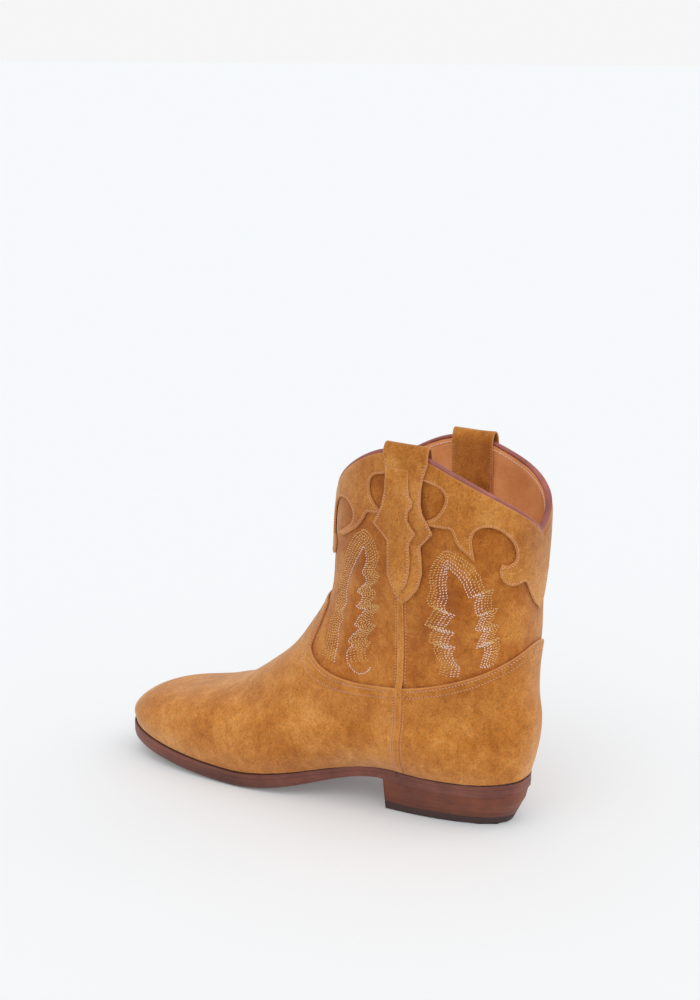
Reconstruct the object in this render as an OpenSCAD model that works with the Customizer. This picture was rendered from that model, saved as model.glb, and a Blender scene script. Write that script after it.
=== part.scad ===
// Ankle-height western boot for the right foot, drawn on its sewing and lasting layers.
// +Y points to the toe, -X is the inner (arch) side, +Z is up.

/* [Upper] */
// Length of the upper from the heel's back to the toe, in mm
upper_l = 288; // [272:1:300]
// Height of the shaft's top ring above the ground, in mm
shaft_h = 238; // [228:1:250]
// Width of the upper across the ball of the foot, in mm
ball_w = 92; // [86:1:98]
// Depth of the V cut at the front and back of the top line, as a share of the shaft
v_cut = 0.18; // [0.12:0.01:0.2]
// How much lower the top ring lies on the outer side than on the inner side
side_drop = 8; // [0:0.5:10]

/* [Leather] */
// Thickness of the suede panels
suede_t = 1.4; // [1.2:0.1:1.6]
// Thickness of the lining leather
lining_t = 1.2; // [1:0.1:1.3]
// Clearance between two layers of leather
layer_gap = 0.4; // [0.4:0.05:0.5]

/* [Pull straps] */
// Width of a pull strap at its fold
strap_w = 29; // [26:0.5:31]
// Height of the strap's fold above the top ring
strap_rise = 6; // [5:0.5:10]

/* [Sole and heel] */
// Thickness of the welt
welt_t = 3.2; // [2.8:0.1:3.4]
// Thickness of the outsole under the ball of the foot
sole_t = 6.6; // [6:0.1:7]
// How far the sole's edge stands out past the upper at the forefoot
sole_edge = 3.2; // [2.5:0.1:4]
// Thickness of the dark top lift that touches the ground
top_lift_t = 5.6; // [5:0.1:6]
// Y of the heel's front face at the ground
heel_breast = 88; // [82:0.5:92]
// Number of nails in the top lift
nail_count = 7; // [5:1:9]

/* [Hidden] */

suede = [0.74, 0.49, 0.25];
suede_dark = [0.66, 0.42, 0.20];
lining_tan = [0.72, 0.44, 0.28];
binding_red = [0.56, 0.33, 0.28];
sole_brown = [0.45, 0.27, 0.22];
lift_brown = [0.47, 0.27, 0.19];
rubber_dark = [0.26, 0.20, 0.19];

// Sections of the upper, from the feather line where it meets the welt up to the top ring:
// [front y, front z, back y, back z, inner half-width, outer half-width, y of the widest place].
SECTIONS = [
    [286, 15, 2.5, 29.5, 39, 42, 180],     // feather line
    [285, 28, 0, 42, 45.5, 46, 173],       // widest part of the toe
    [269, 43, -2.5, 56, 46, 46, 164],      // top of the toe box
    [239, 51, -3.5, 70, 42, 43, 149],      // ball of the foot
    [203, 62, -1.5, 85, 40, 41, 120],      // start of the instep
    [171, 85, -1.5, 101, 39.5, 40.5, 95],  // instep
    [150, 108, -2.5, 118, 39.5, 40.5, 76], // throat
    [135, 132, -3, 138, 41.5, 41.5, 66],   // ankle
    [129.5, 162, -3.5, 163, 44, 44, 62],
    [127.5, 192, -4.5, 190, 45.5, 45.5, 61],
    [124, 218, -4, 213, 45.5, 45.5, 62],
    [118, 240, -2, 236, 45, 45, 62]        // top ring
];
design_l = 288;
design_h = 238;
design_w = 92;
ky = upper_l / design_l;
kz = shaft_h / design_h;
kx = ball_w / design_w;
LAST = len(SECTIONS) - 1;
top_w = SECTIONS[LAST][4] + SECTIONS[LAST][5];

instep_v = 0.45;      // share of the height over which the foot's own shape fades out
toe_power = 2.2;      // roundness of the toe outline at the feather line
heel_power = 3;       // roundness of the heel outline at the feather line
shaft_power = 2.45;   // roundness of the shaft
heel_taper = 0.26;    // narrowing towards the heel
waist_y = 107;        // middle of the arch
waist_reach = 39;
waist_in_medial = 13.2;
waist_in_lateral = 6;
toe_swing = -5.7;     // the toe's centre line leans to the inner side
toe_swing_from = 170;
toe_swing_over = 100;

seat_z = 29.5;        // feather line height at the heel seat
ball_z = welt_t + sole_t + 0.2;
toe_z = 18;
seat_rise = 3;        // how far the seat rises to the back of the heel
seat_rise_y = 40;
seat_end_y = 75;
ball_y = 195;
spring_y = 182;       // where the toe spring starts
toe_end_y = 268;
drop_v = 0.45;        // height at which the side drop starts
drop_back_share = 0.3; // part of the drop that is left at the back
drop_back_y = 62;

seam_y_low = 73;      // side seam, at the feather line
seam_lean = 9;        // how far back it leans up to the top ring
vamp_side_v = 0.434;  // height of the vamp's and counter's edge at the side seam

function clamp01(t) = min(1, max(0, t));
function smooth(a, b, t) = let (u = clamp01((t - a) / (b - a))) u * u * (3 - 2 * u);
function mix(a, b, t) = a + (b - a) * t;

// Catmull-Rom curve through the sections
function row(i) =
    i < 0 ? 2 * SECTIONS[0] - SECTIONS[1]
    : i > LAST ? 2 * SECTIONS[LAST] - SECTIONS[LAST - 1]
    : SECTIONS[i];
function spline(p, a, b, q, f) =
    0.5 * (2 * a + (b - p) * f + (2 * p - 5 * a + 4 * b - q) * f * f
    + (3 * a - p - 3 * b + q) * f * f * f);
function section(v) =
    let (t = clamp01(v) * LAST, i = min(floor(t), LAST - 1))
    spline(row(i - 1), row(i), row(i + 1), row(i + 2), t - i);

// Share of the foot's own shape left at height v: 1 at the feather line, 0 above the instep
function foot_share(v) = clamp01(1 - v / instep_v);
function power_at(v, forward) =
    mix(shaft_power, forward ? toe_power : heel_power, foot_share(v));

// Height of the feather line along the foot: heel seat, arch, ball and toe spring
function feather_z(y) =
    mix(seat_z, ball_z, smooth(seat_end_y, ball_y, y))
    + seat_rise * pow(clamp01((seat_rise_y - y) / seat_rise_y), 2)
    + (toe_z - ball_z) * pow(max(0, (y - spring_y) / (toe_end_y - spring_y)), 2);

// Point on the outer face of the upper. a is the angle round the boot: 0 at the toe,
// 90 on the inner side, 180 at the heel. v is 0 at the feather line and 1 at the top ring.
function upper(a, v) =
    let (
        s = section(v), k = foot_share(v), forward = cos(a) > 0, n = power_at(v, forward),
        r = pow(pow(abs(cos(a)), n) + pow(abs(sin(a)), n), 1 / n),
        along = cos(a) / r, across = sin(a) / r, medial = sin(a) > 0,
        y = s[6] + along * (forward ? s[0] - s[6] : s[6] - s[2]),
        narrow = forward ? 1 : 1 - heel_taper * k * pow(-along, 1.5),
        pinch = (medial ? waist_in_medial : waist_in_lateral) * k * k
            * exp(-pow((y - waist_y) / waist_reach, 2)),
        x = -across * ((medial ? s[4] : s[5]) * narrow - pinch)
            + toe_swing * pow(max(0, (y - toe_swing_from) / toe_swing_over), 2),
        z = mix(s[3], s[1], (y - s[2]) / (s[0] - s[2])),
        f = SECTIONS[0], chord = mix(f[3], f[1], (y - f[2]) / (f[0] - f[2])),
        drop = side_drop * smooth(drop_v, 1, v) * (0.5 + x / top_w)
            * mix(drop_back_share, 1, smooth(0, drop_back_y, y)),
        z_foot = z + (feather_z(y) - chord) * pow(k, 1.5) - drop
    ) [x * kx, y * ky, z_foot * (v < instep_v ? mix(1, kz, v / instep_v) : kz)];

function unit(p) = p / norm(p);
normal_da = 0.5;
normal_dv = 0.003;
// Point at a distance outside the outer face, along its normal
function offset_upper(a, v, d) =
    let (
        round_it = upper(a + normal_da, v) - upper(a - normal_da, v),
        up_it = upper(a, min(1, v + normal_dv)) - upper(a, max(0, v - normal_dv))
    ) upper(a, v) + d * unit(cross(round_it, up_it));

// Angle at which a section passes a given y on the inner side
function angle_at(y, v) =
    let (
        s = section(v), forward = y > s[6], n = power_at(v, forward),
        share = min(1, abs(y - s[6]) / (forward ? s[0] - s[6] : s[6] - s[2])),
        a = atan2(pow(1 - pow(share, n), 1 / n), share)
    ) forward ? a : 180 - a;
function seam_angle(v) = angle_at(seam_y_low - seam_lean * v, v);

// Panels run from one side seam (w = -1, inner) over the middle (0) to the other (1).
function front_angle(w, v) = -w * seam_angle(v);
function back_angle(w, v) = 180 + w * (180 - seam_angle(v));

// Edges of the panels, as heights v against s: 0 at the side seam, 1 at the middle line
function vamp_edge(s) =
    vamp_side_v + 0.1 * pow(min(1, s / 0.58), 2.2) + 0.105 * smooth(0.53, 0.64, s)
    + 0.015 * clamp01((s - 0.64) / 0.36);
function counter_edge(s) = vamp_side_v + 0.13 * smooth(-0.03, 1, s);
function top_front(s) =
    let (t = clamp01((s - 0.13) / 0.87)) 1 - v_cut * (0.75 * smooth(0, 1, t) + 0.25 * t);
function top_back(s) =
    let (t = (s - 0.14) / 0.86) 1 - v_cut * 0.488 * (t + sqrt(t * t + 0.004));
function collar_front_edge(s) = 0.80 - 0.09 * s * s + 0.012 * cos(540 * s);
function collar_back_edge(s) = 0.80 - 0.14 * s * s + 0.012 * cos(540 * s);

// Layers, as distances from the outer face of the shaft
shaft_out = -0.1;
shaft_in = shaft_out - suede_t;
lining_out = shaft_in - layer_gap;
lining_in = lining_out - lining_t;
cover_in = shaft_out + layer_gap;
cover_out = cover_in + suede_t;
binding_mid = (cover_out + lining_in) / 2;
binding_r = (cover_out - lining_in) / 2 + 0.2;
strap_t = 1.2;
strap_in = cover_out + 0.7;
strap_out = strap_in + strap_t;
strap_inner_out = lining_in - 0.7;
overlay_in = strap_out + layer_gap;
overlay_out = overlay_in + strap_t;

top_margin = 0.0085;  // panels stop this far below the top line, under the binding
bottom_v = 0.012;     // panels start this far above the feather line
underlap = 0.035;     // the shaft runs this far below the vamp's edge

// --- Solids from grids -------------------------------------------------------------------

// Two triangles for the cell of four point numbers, seen clockwise from outside
function cell(p, q, r, s) = [[p, q, r], [p, r, s]];

// Closed solid between two grids of (m + 1) by (n + 1) points, outer points first
module slab(outer, inner, m, n) {
    count = (m + 1) * (n + 1);
    function at(i, j) = i * (n + 1) + j;
    faces = [
        for (i = [0:m - 1], j = [0:n - 1], t = concat(
            cell(at(i, j), at(i, j + 1), at(i + 1, j + 1), at(i + 1, j)),
            cell(count + at(i, j), count + at(i + 1, j),
                count + at(i + 1, j + 1), count + at(i, j + 1)))) t,
        for (i = [0:m - 1], t = concat(
            cell(at(i, 0), at(i + 1, 0), count + at(i + 1, 0), count + at(i, 0)),
            cell(at(i, n), count + at(i, n), count + at(i + 1, n), at(i + 1, n)))) t,
        for (j = [0:n - 1], t = concat(
            cell(at(0, j), count + at(0, j), count + at(0, j + 1), at(0, j + 1)),
            cell(at(m, j), at(m, j + 1), count + at(m, j + 1), count + at(m, j)))) t
    ];
    polyhedron(concat(outer, inner), faces);
}

// Leather panel: place(i, j) gives [angle, v] at a grid point
module panel(m, n, place, out_d, in_d) {
    spots = [for (i = [0:m], j = [0:n]) place(i, j)];
    slab([for (p = spots) offset_upper(p[0], p[1], out_d)],
        [for (p = spots) offset_upper(p[0], p[1], in_d)], m, n);
}

// Band round a closed path: each ring is a list of k points
module tube(rings, closed) {
    k = len(rings[0]);
    n = len(rings);
    last = closed ? n - 1 : n - 2;
    faces = [
        for (i = [0:last], j = [0:k - 1])
            let (i2 = (i + 1) % n, j2 = (j + 1) % k)
            each cell(i * k + j, i * k + j2, i2 * k + j2, i2 * k + j),
        if (!closed) for (j = [1:k - 2]) [0, j + 1, j],
        if (!closed) for (j = [1:k - 2]) [(n - 1) * k, (n - 1) * k + j, (n - 1) * k + j + 1]
    ];
    polyhedron([for (r = rings) each r], faces);
}

// --- Upper -------------------------------------------------------------------------------

vamp_m = 36;
vamp_n = 16;
// The toe box bends most, so rows are closer there
function vamp_row(j) = pow(j / vamp_n, 1.15);
function vamp_spot(i, j) =
    let (w = 2 * i / vamp_m - 1, v = mix(bottom_v, vamp_edge(1 - abs(w)), vamp_row(j)))
    [front_angle(w, v), v];
counter_m = 28;
counter_n = 9;
function counter_spot(i, j) =
    let (w = 2 * i / counter_m - 1, v = mix(bottom_v, counter_edge(1 - abs(w)), j / counter_n))
    [back_angle(w, v), v];
// The vamp and counter stop this far short of the side seam line
seam_share = 0.006;

module vamp()
    color(suede)
        panel(vamp_m, vamp_n, function(i, j) let (p = vamp_spot(i, j)) [p[0] * (1 - seam_share), p[1]],
            cover_out, cover_in);

module heel_counter()
    color(suede)
        panel(counter_m, counter_n,
            function(i, j) let (p = counter_spot(i, j)) [180 + (p[0] - 180) * (1 - seam_share), p[1]],
            cover_out, cover_in);

// Panel of the shaft, or of its lining, between two edges given as functions of s
module shaft_panel(m, n, is_front, low, high, out_d, in_d)
    panel(m, n,
        function(i, j)
            let (
                w = (2 * i / m - 1) * (1 - seam_share), s = 1 - abs(2 * i / m - 1),
                v = mix(low(s), high(s), j / n)
            ) [is_front ? front_angle(w, v) : back_angle(w, v), v],
        out_d, in_d);

module shaft_front()
    color(suede_dark)
        shaft_panel(28, 12, true, function(s) vamp_edge(s) - underlap,
            function(s) top_front(s) - top_margin, shaft_out, shaft_in);

module shaft_back()
    color(suede_dark)
        shaft_panel(24, 12, false, function(s) counter_edge(s) - underlap,
            function(s) top_back(s) - top_margin, shaft_out, shaft_in);

module collar_front()
    color(suede)
        shaft_panel(30, 5, true, function(s) collar_front_edge(s),
            function(s) top_front(s) - top_margin, cover_out, cover_in);

module collar_back()
    color(suede)
        shaft_panel(30, 6, false, function(s) collar_back_edge(s),
            function(s) top_back(s) - top_margin, cover_out, cover_in);

// Rolled leather binding along the top line
binding_stations = 32;
binding_sides = 8;
binding_h = 1.5;
binding_low_h = 1.8;   // the roll hangs a little lower, to cover the panels' edges
function binding_ring(w, is_front) =
    let (
        s = 1 - abs(w), v = is_front ? top_front(s) : top_back(s),
        a = is_front ? front_angle(w, v) : back_angle(w, v),
        mid = offset_upper(a, v, binding_mid), side = unit(offset_upper(a, v, 1) - upper(a, v))
    ) [for (k = [0:binding_sides - 1])
        let (b = -360 * k / binding_sides, h = sin(b) < 0 ? binding_low_h : binding_h)
        mid + binding_r * cos(b) * side + [0, 0, h * sin(b)]];

module top_binding()
    color(binding_red)
        tube(concat(
            [for (i = [0:binding_stations - 1]) binding_ring(2 * i / binding_stations - 1, true)],
            [for (i = [0:binding_stations - 1]) binding_ring(1 - 2 * i / binding_stations, false)]
        ), true);

// Raised strip on a side seam: it lies on the vamp and counter below, on the shaft above
strip_half_w = 2.2;
strip_t = 0.9;
strip_top_v = 0.78;
module side_strip(mirror_a) {
    m = 2;
    n = 26;
    function spot(i, j) =
        let (v = mix(0.02, strip_top_v, j / n), y = seam_y_low - seam_lean * v)
        [angle_at(y - (i / m * 2 - 1) * strip_half_w, v), v];
    function base(v) = v < vamp_side_v + 0.005 ? cover_out + 0.3
        : mix(cover_out + 0.3, shaft_out + 0.3, clamp01((v - vamp_side_v - 0.005) / 0.02));
    spots = [for (i = [0:m], j = [0:n]) spot(mirror_a ? m - i : i, j)];
    slab([for (p = spots) offset_upper(mirror_a ? -p[0] : p[0], p[1], base(p[1]) + strip_t)],
        [for (p = spots) offset_upper(mirror_a ? -p[0] : p[0], p[1], base(p[1]))], m, n);
}
module side_seam_medial() color(suede) side_strip(false);
module side_seam_lateral() color(suede) side_strip(true);

// --- Pull straps -------------------------------------------------------------------------

strap_y = 62;
strap_tip_v = 0.675;
strap_tip_share = 0.25; // width left at the tip
strap_tip_reach = 0.065;
strap_leg_share = 0.84; // width of the outer leg below the fold
strap_inner_v = 0.80;
strap_turn = 8;        // stations round the fold
strap_leg = 16;
strap_leg_top = 0.99;
strap_point = 7.5;     // how far the two points stand out from the strap's edges
strap_point_v = [0.795, 0.828, 0.875];
function point_share(v) =
    smooth(strap_point_v[0], strap_point_v[1], v) - smooth(strap_point_v[1], strap_point_v[2], v);
function tip_share(v, tip_v, reach) =
    mix(strap_tip_share, 1, sin(90 * clamp01((v - tip_v) / reach)));
// Half-width of the outer leg: a spear-shaped tip, a point on each edge, then the plain strap
function strap_half(v) =
    strap_w / 2 * mix(strap_leg_share, 1, smooth(0.9, strap_leg_top, v))
    * tip_share(v, strap_tip_v, strap_tip_reach) + strap_point * point_share(v);
function strap_angle(y, v, lateral) = lateral ? -angle_at(y, v) : angle_at(y, v);

// Points of the strap's two faces at station j, for the place u (-1..1) across its width
function strap_pair(u, j, lateral) =
    let (
        j_turn = strap_leg, j_inner = strap_leg + strap_turn,
        v = j <= j_turn ? mix(strap_tip_v, strap_leg_top, j / strap_leg)
            : j < j_inner ? strap_leg_top
            : mix(strap_leg_top, strap_inner_v, (j - j_inner) / strap_leg),
        half = j <= j_turn ? strap_half(v) : strap_w / 2,
        a = strap_angle(strap_y + u * half, v, lateral),
        turn = 180 * clamp01((j - j_turn) / strap_turn),
        mid_d = (strap_in + strap_inner_out) / 2,
        r_in = strap_in - mid_d, r_out = r_in + strap_t,
        rise = strap_rise + upper(a, 1)[2] - offset_upper(a, strap_leg_top, 0)[2]
    )
    j <= j_turn ? [offset_upper(a, v, strap_out), offset_upper(a, v, strap_in)]
    : j >= j_inner ? [offset_upper(a, v, strap_inner_out - strap_t), offset_upper(a, v, strap_inner_out)]
    : [offset_upper(a, v, mid_d + r_out * cos(turn)) + [0, 0, rise * sin(turn)],
        offset_upper(a, v, mid_d + r_in * cos(turn)) + [0, 0, (rise - strap_t) * sin(turn)]];

module pull_strap(lateral) {
    m = 4;
    n = 2 * strap_leg + strap_turn;
    // The order of the columns keeps the outer face outwards on both sides
    pairs = [for (i = [0:m], j = [0:n])
        strap_pair((lateral ? -1 : 1) * (1 - 2 * i / m), j, lateral)];
    slab([for (p = pairs) p[0]], [for (p = pairs) p[1]], m, n);
}
module pull_strap_medial() color(suede) pull_strap(false);
module pull_strap_lateral() color(suede) pull_strap(true);

// Second layer on the front part of a strap, with its own pointed tip
overlay_v = [0.7, 0.955];
overlay_tip_y = 66;
overlay_tip_reach = 0.04;
overlay_back = 3.5;    // its rear edge lies this far behind the strap's middle
overlay_inset = 0.6;
module strap_overlay(lateral) {
    m = 3;
    n = 14;
    function spot(i, j) =
        let (
            v = mix(overlay_v[0], overlay_v[1], j / n),
            front_y = strap_y + strap_half(v) - overlay_inset,
            back_y = strap_y - overlay_back - strap_point * point_share(v) * 0.7,
            open = tip_share(v, overlay_v[0], overlay_tip_reach),
            y = mix(overlay_tip_y, mix(front_y, back_y, i / m), open)
        ) [strap_angle(y, v, lateral), v];
    spots = [for (i = [0:m], j = [0:n]) spot(lateral ? m - i : i, j)];
    slab([for (p = spots) offset_upper(p[0], p[1], overlay_out)],
        [for (p = spots) offset_upper(p[0], p[1], overlay_in)], m, n);
}
module strap_overlay_medial() color(suede) strap_overlay(false);
module strap_overlay_lateral() color(suede) strap_overlay(true);

// --- Lining and stiffeners ---------------------------------------------------------------

lining_rows = 13;      // rows of the vamp's grid that its lining follows
heel_lining_rows = 8;
lining_step = 0.4;     // the upper lining starts this much of a row above the lower one

module lining_vamp()
    color(lining_tan)
        panel(vamp_m, lining_rows,
            function(i, j) let (p = vamp_spot(i, j)) [p[0] * (1 - seam_share), p[1]],
            lining_out, lining_in);

module lining_heel()
    color(lining_tan)
        panel(counter_m, heel_lining_rows,
            function(i, j) let (p = counter_spot(i, j)) [180 + (p[0] - 180) * (1 - seam_share), p[1]],
            lining_out, lining_in);

module lining_front()
    color(lining_tan)
        shaft_panel(26, 12, true,
            function(s) mix(bottom_v, vamp_edge(s), vamp_row(lining_rows + lining_step)),
            function(s) top_front(s) - top_margin, lining_out, lining_in);

module lining_back()
    color(lining_tan)
        shaft_panel(24, 11, false,
            function(s) mix(bottom_v, counter_edge(s), (heel_lining_rows + lining_step) / counter_n),
            function(s) top_back(s) - top_margin, lining_out, lining_in);

puff_cols = 9;         // columns left out at each end of the vamp's grid
puff_rows = 5;
module toe_puff()
    color("burlywood")
        panel(vamp_m - 2 * puff_cols, puff_rows, function(i, j) vamp_spot(i + puff_cols, j),
            shaft_out, shaft_in);

stiffener_cols = 3;
stiffener_rows = 6;
module counter_stiffener()
    color("burlywood")
        panel(counter_m - 2 * stiffener_cols, stiffener_rows,
            function(i, j) counter_spot(i + stiffener_cols, j), shaft_out, shaft_in);

// --- Sole --------------------------------------------------------------------------------

heel_edge = 2;         // how far the sole's edge stands out round the heel
function edge_at(y) = mix(heel_edge, sole_edge, smooth(110, 190, y));
function sole_t_at(y) = mix(4.4, sole_t, smooth(100, 170, y));

// Feather outline at angle a, moved outwards by d in plan
function outline(a, d) =
    let (
        p = upper(a, 0), t = upper(a + normal_da, 0) - upper(a - normal_da, 0),
        n = unit([t[1], -t[0], 0])
    ) [p[0] + d * n[0], p[1] + d * n[1]];
function edge_outline(a, d) = outline(a, edge_at(upper(a, 0)[1]) + d);

// Plate under the foot between two heights that depend on y. ring(a) is its edge at angle a.
module plate(a0, a1, n, ring, low, high) {
    angles = [for (i = [0:n]) mix(a0, a1, i / n)];
    left = [for (a = angles) ring(a)];
    right = [for (a = angles) ring(-a)];
    spine = [for (i = [0:n]) (left[i] + right[i]) / 2];
    flat = [for (i = [0:n]) each [left[i], spine[i], right[i]]];
    count = len(flat);
    points = concat([for (p = flat) [p[0], p[1], high(p[1])]], [for (p = flat) [p[0], p[1], low(p[1])]]);
    at_tip = norm(left[0] - right[0]) < 0.01;
    at_heel = norm(left[n] - right[n]) < 0.01;
    // Cells of one column; a cell next to a tip is a single triangle
    function strip(i, c) =
        let (p = 3 * i + c, q = p + 1, r = q + 3, s = p + 3)
        i == 0 && at_tip ? [[1, r, s]]
        : i == n - 1 && at_heel ? [[p, q, 3 * n + 1]]
        : [[p, q, r], [p, r, s]];
    function under(t) = [t[0] + count, t[2] + count, t[1] + count];
    tops = [for (i = [0:n - 1], c = [0:1], t = strip(i, c)) t];
    function merged(p) = at_tip && p < 3 ? 1 : at_heel && p >= 3 * n ? 3 * n + 1 : p;
    walls = [for (i = [0:n - 1], c = [0, 2])
        let (p = merged(3 * i + c), q = merged(3 * (i + 1) + c))
        each c == 0 ? cell(p, q, q + count, p + count) : cell(q, p, p + count, q + count)];
    ends = concat(
        at_tip ? [] : [for (c = [0:1]) each cell(c + 1, c, c + count, c + 1 + count)],
        at_heel ? [] : [for (c = [0:1])
            each cell(3 * n + c, 3 * n + c + 1, 3 * n + c + 1 + count, 3 * n + c + count)]);
    polyhedron(points, concat(tops, [for (t = tops) under(t)], walls, ends));
}

joint_gap = 0.15;      // glue line between two flat layers
welt_in = 5;
board_t = 2.2;
board_in = 4.4;
liner_t = 1.5;
cork_ends = [20, 84];
shank_w = 14;
shank_t = 1.4;
shank_from = 62;
shank_to = 152;
shank_steps = 12;
rand_angle = 122;      // angle round the boot where the welt stops and the heel rand starts

function sole_low(y) = feather_z(y) - welt_t - joint_gap - sole_t_at(y);

module sock_liner()
    color(lining_tan)
        plate(0, 180, 30, function(a) outline(a, -board_in - 0.3),
            function(y) feather_z(y) + board_t + 2 * joint_gap,
            function(y) feather_z(y) + board_t + 2 * joint_gap + liner_t);

module insole_board()
    color("tan")
        plate(0, 180, 30, function(a) outline(a, -board_in),
            function(y) feather_z(y) + joint_gap, function(y) feather_z(y) + joint_gap + board_t);

module cork_filler()
    color("peru")
        plate(cork_ends[0], cork_ends[1], 14, function(a) outline(a, -welt_in - 0.8),
            function(y) feather_z(y) - welt_t + joint_gap, function(y) feather_z(y) - joint_gap);

// Bent spring-steel strip that carries the arch
module steel_shank() {
    m = 2;
    spots = [for (i = [0:m], j = [0:shank_steps])
        let (y = mix(shank_from, shank_to, j / shank_steps))
        [shank_w * (i / m - 0.5), y, feather_z(y) - 2 * joint_gap]];
    color("lightsteelblue")
        slab(spots, [for (p = spots) p - [0, 0, shank_t]], m, shank_steps);
}

// Strip of rectangular section under the upper's edge
function strip_ring(a, in_d, out_d) =
    let (p = outline(a, -in_d), q = edge_outline(a, out_d), zp = feather_z(p[1]), zq = feather_z(q[1]))
    [[q[0], q[1], zq - joint_gap], [p[0], p[1], zp - joint_gap],
        [p[0], p[1], zp - welt_t], [q[0], q[1], zq - welt_t]];

module welt()
    color(sole_brown)
        tube([for (i = [0:64]) strip_ring(mix(-rand_angle, rand_angle, i / 64), welt_in, 0)], false);

module heel_rand()
    color(sole_brown)
        tube([for (i = [0:28]) strip_ring(mix(rand_angle + 0.8, 359.2 - rand_angle, i / 28), welt_in, 0)],
            false);

module outsole()
    color(sole_brown)
        plate(0, 180, 48, function(a) edge_outline(a, 0), function(y) sole_low(y),
            function(y) feather_z(y) - welt_t - joint_gap);

// --- Heel --------------------------------------------------------------------------------

heel_top_z = sole_low(heel_breast);
heel_low_half = 25.5;  // half-width of the heel at the ground
heel_low_x = 4;
heel_low_back = 12;    // the back of the heel slopes in under the foot
heel_round = 2.2;
heel_inset = 0.3;      // the heel's top is this much smaller than the sole
heel_points = 28;
breast_angle = angle_at(heel_breast, 0);
lift_t = (heel_top_z - top_lift_t) / 4.4;

// Outline of the heel at height z: straight front face, round back. It follows the sole above
// and shrinks to a rounded outline at the ground.
function heel_outline(z) =
    [for (i = [0:heel_points])
        let (
            b = 180 * i / heel_points, c = cos(b),
            low = [heel_low_x + (c < 0 ? -1 : 1) * heel_low_half * pow(abs(c), 2 / heel_round),
                heel_breast - (heel_breast - heel_low_back) * pow(abs(sin(b)), 2 / heel_round)],
            edge = edge_outline(mix(360 - breast_angle, breast_angle, i / heel_points), -heel_inset),
            high = [edge[0], min(edge[1], heel_breast)]
        ) mix(low, high, z / heel_top_z)];

// Lift between two heights; high(y) gives its top face
module lift(z0, high) {
    low_ring = heel_outline(z0);
    high_ring = heel_outline(high(heel_breast / 2));
    k = len(low_ring);
    faces = [
        for (i = [0:k - 1]) let (j = (i + 1) % k) each cell(i, k + i, k + j, j),
        for (i = [1:k - 2]) [0, i, i + 1],
        for (i = [1:k - 2]) [k, k + i + 1, k + i]
    ];
    polyhedron(concat([for (p = low_ring) [p[0], p[1], z0]],
        [for (p = high_ring) [p[0], p[1], high(p[1])]]), faces);
}

nail_r = 0.9;
nail_play = 0.15;
nail_l = 4.2;
nail_recess = 0.3;
nail_inset = 7;
// The nails follow the heel's outline
module at_nails() {
    ring = heel_outline(0);
    mid = [heel_low_x, heel_breast / 2 + 4];
    for (i = [0:nail_count - 1]) {
        p = ring[round(mix(3, heel_points - 3, i / (nail_count - 1)))];
        translate(p + unit(mid - p) * nail_inset) children();
    }
}

module top_lift()
    color(rubber_dark)
        difference() {
            lift(0, function(y) top_lift_t);
            at_nails() translate([0, 0, -1]) cylinder(r = nail_r + nail_play, h = nail_l + 1.5, $fn = 16);
        }

module heel_nails()
    color("goldenrod")
        at_nails() translate([0, 0, nail_recess]) cylinder(r = nail_r, h = nail_l - nail_recess, $fn = 16);

module heel_lift(n)
    color(lift_brown)
        lift(top_lift_t + (n - 1) * lift_t + joint_gap, function(y) top_lift_t + n * lift_t);

module heel_wedge()
    color(lift_brown)
        lift(top_lift_t + 3 * lift_t + joint_gap, function(y) sole_low(y) - joint_gap);

// --- Assembly ----------------------------------------------------------------------------

// The origin is on the ground, under the middle of the boot's box
toe_tip_y = edge_outline(0, 0)[1];
heel_back_y = min(
    min([for (v = [0.6:0.02:0.78]) offset_upper(180, v, cover_out)[1]]),
    min([for (p = binding_ring(0, false)) p[1]]));
widest_v = [for (v = [0.7:0.02:0.94]) v];
left_x = min([for (v = widest_v) offset_upper(90, v, overlay_out)[0]]);
right_x = max([for (v = widest_v) offset_upper(-90, v, overlay_out)[0]]);
middle = [-(left_x + right_x) / 2, -(toe_tip_y + heel_back_y) / 2, 0];

module placed() translate(middle) children();

placed() vamp();
placed() heel_counter();
placed() shaft_front();
placed() shaft_back();
placed() collar_front();
placed() collar_back();
placed() top_binding();
placed() side_seam_medial();
placed() side_seam_lateral();
placed() pull_strap_medial();
placed() pull_strap_lateral();
placed() strap_overlay_medial();
placed() strap_overlay_lateral();
placed() lining_vamp();
placed() lining_heel();
placed() lining_front();
placed() lining_back();
placed() toe_puff();
placed() counter_stiffener();
placed() sock_liner();
placed() insole_board();
placed() steel_shank();
placed() cork_filler();
placed() welt();
placed() heel_rand();
placed() outsole();
placed() heel_wedge();
placed() heel_lift(1);  // heel_lift_1
placed() heel_lift(2);  // heel_lift_2
placed() heel_lift(3);  // heel_lift_3
placed() top_lift();
placed() heel_nails();
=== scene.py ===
import math

import bpy
import numpy as np
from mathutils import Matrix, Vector
from mathutils.geometry import delaunay_2d_cdt


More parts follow.
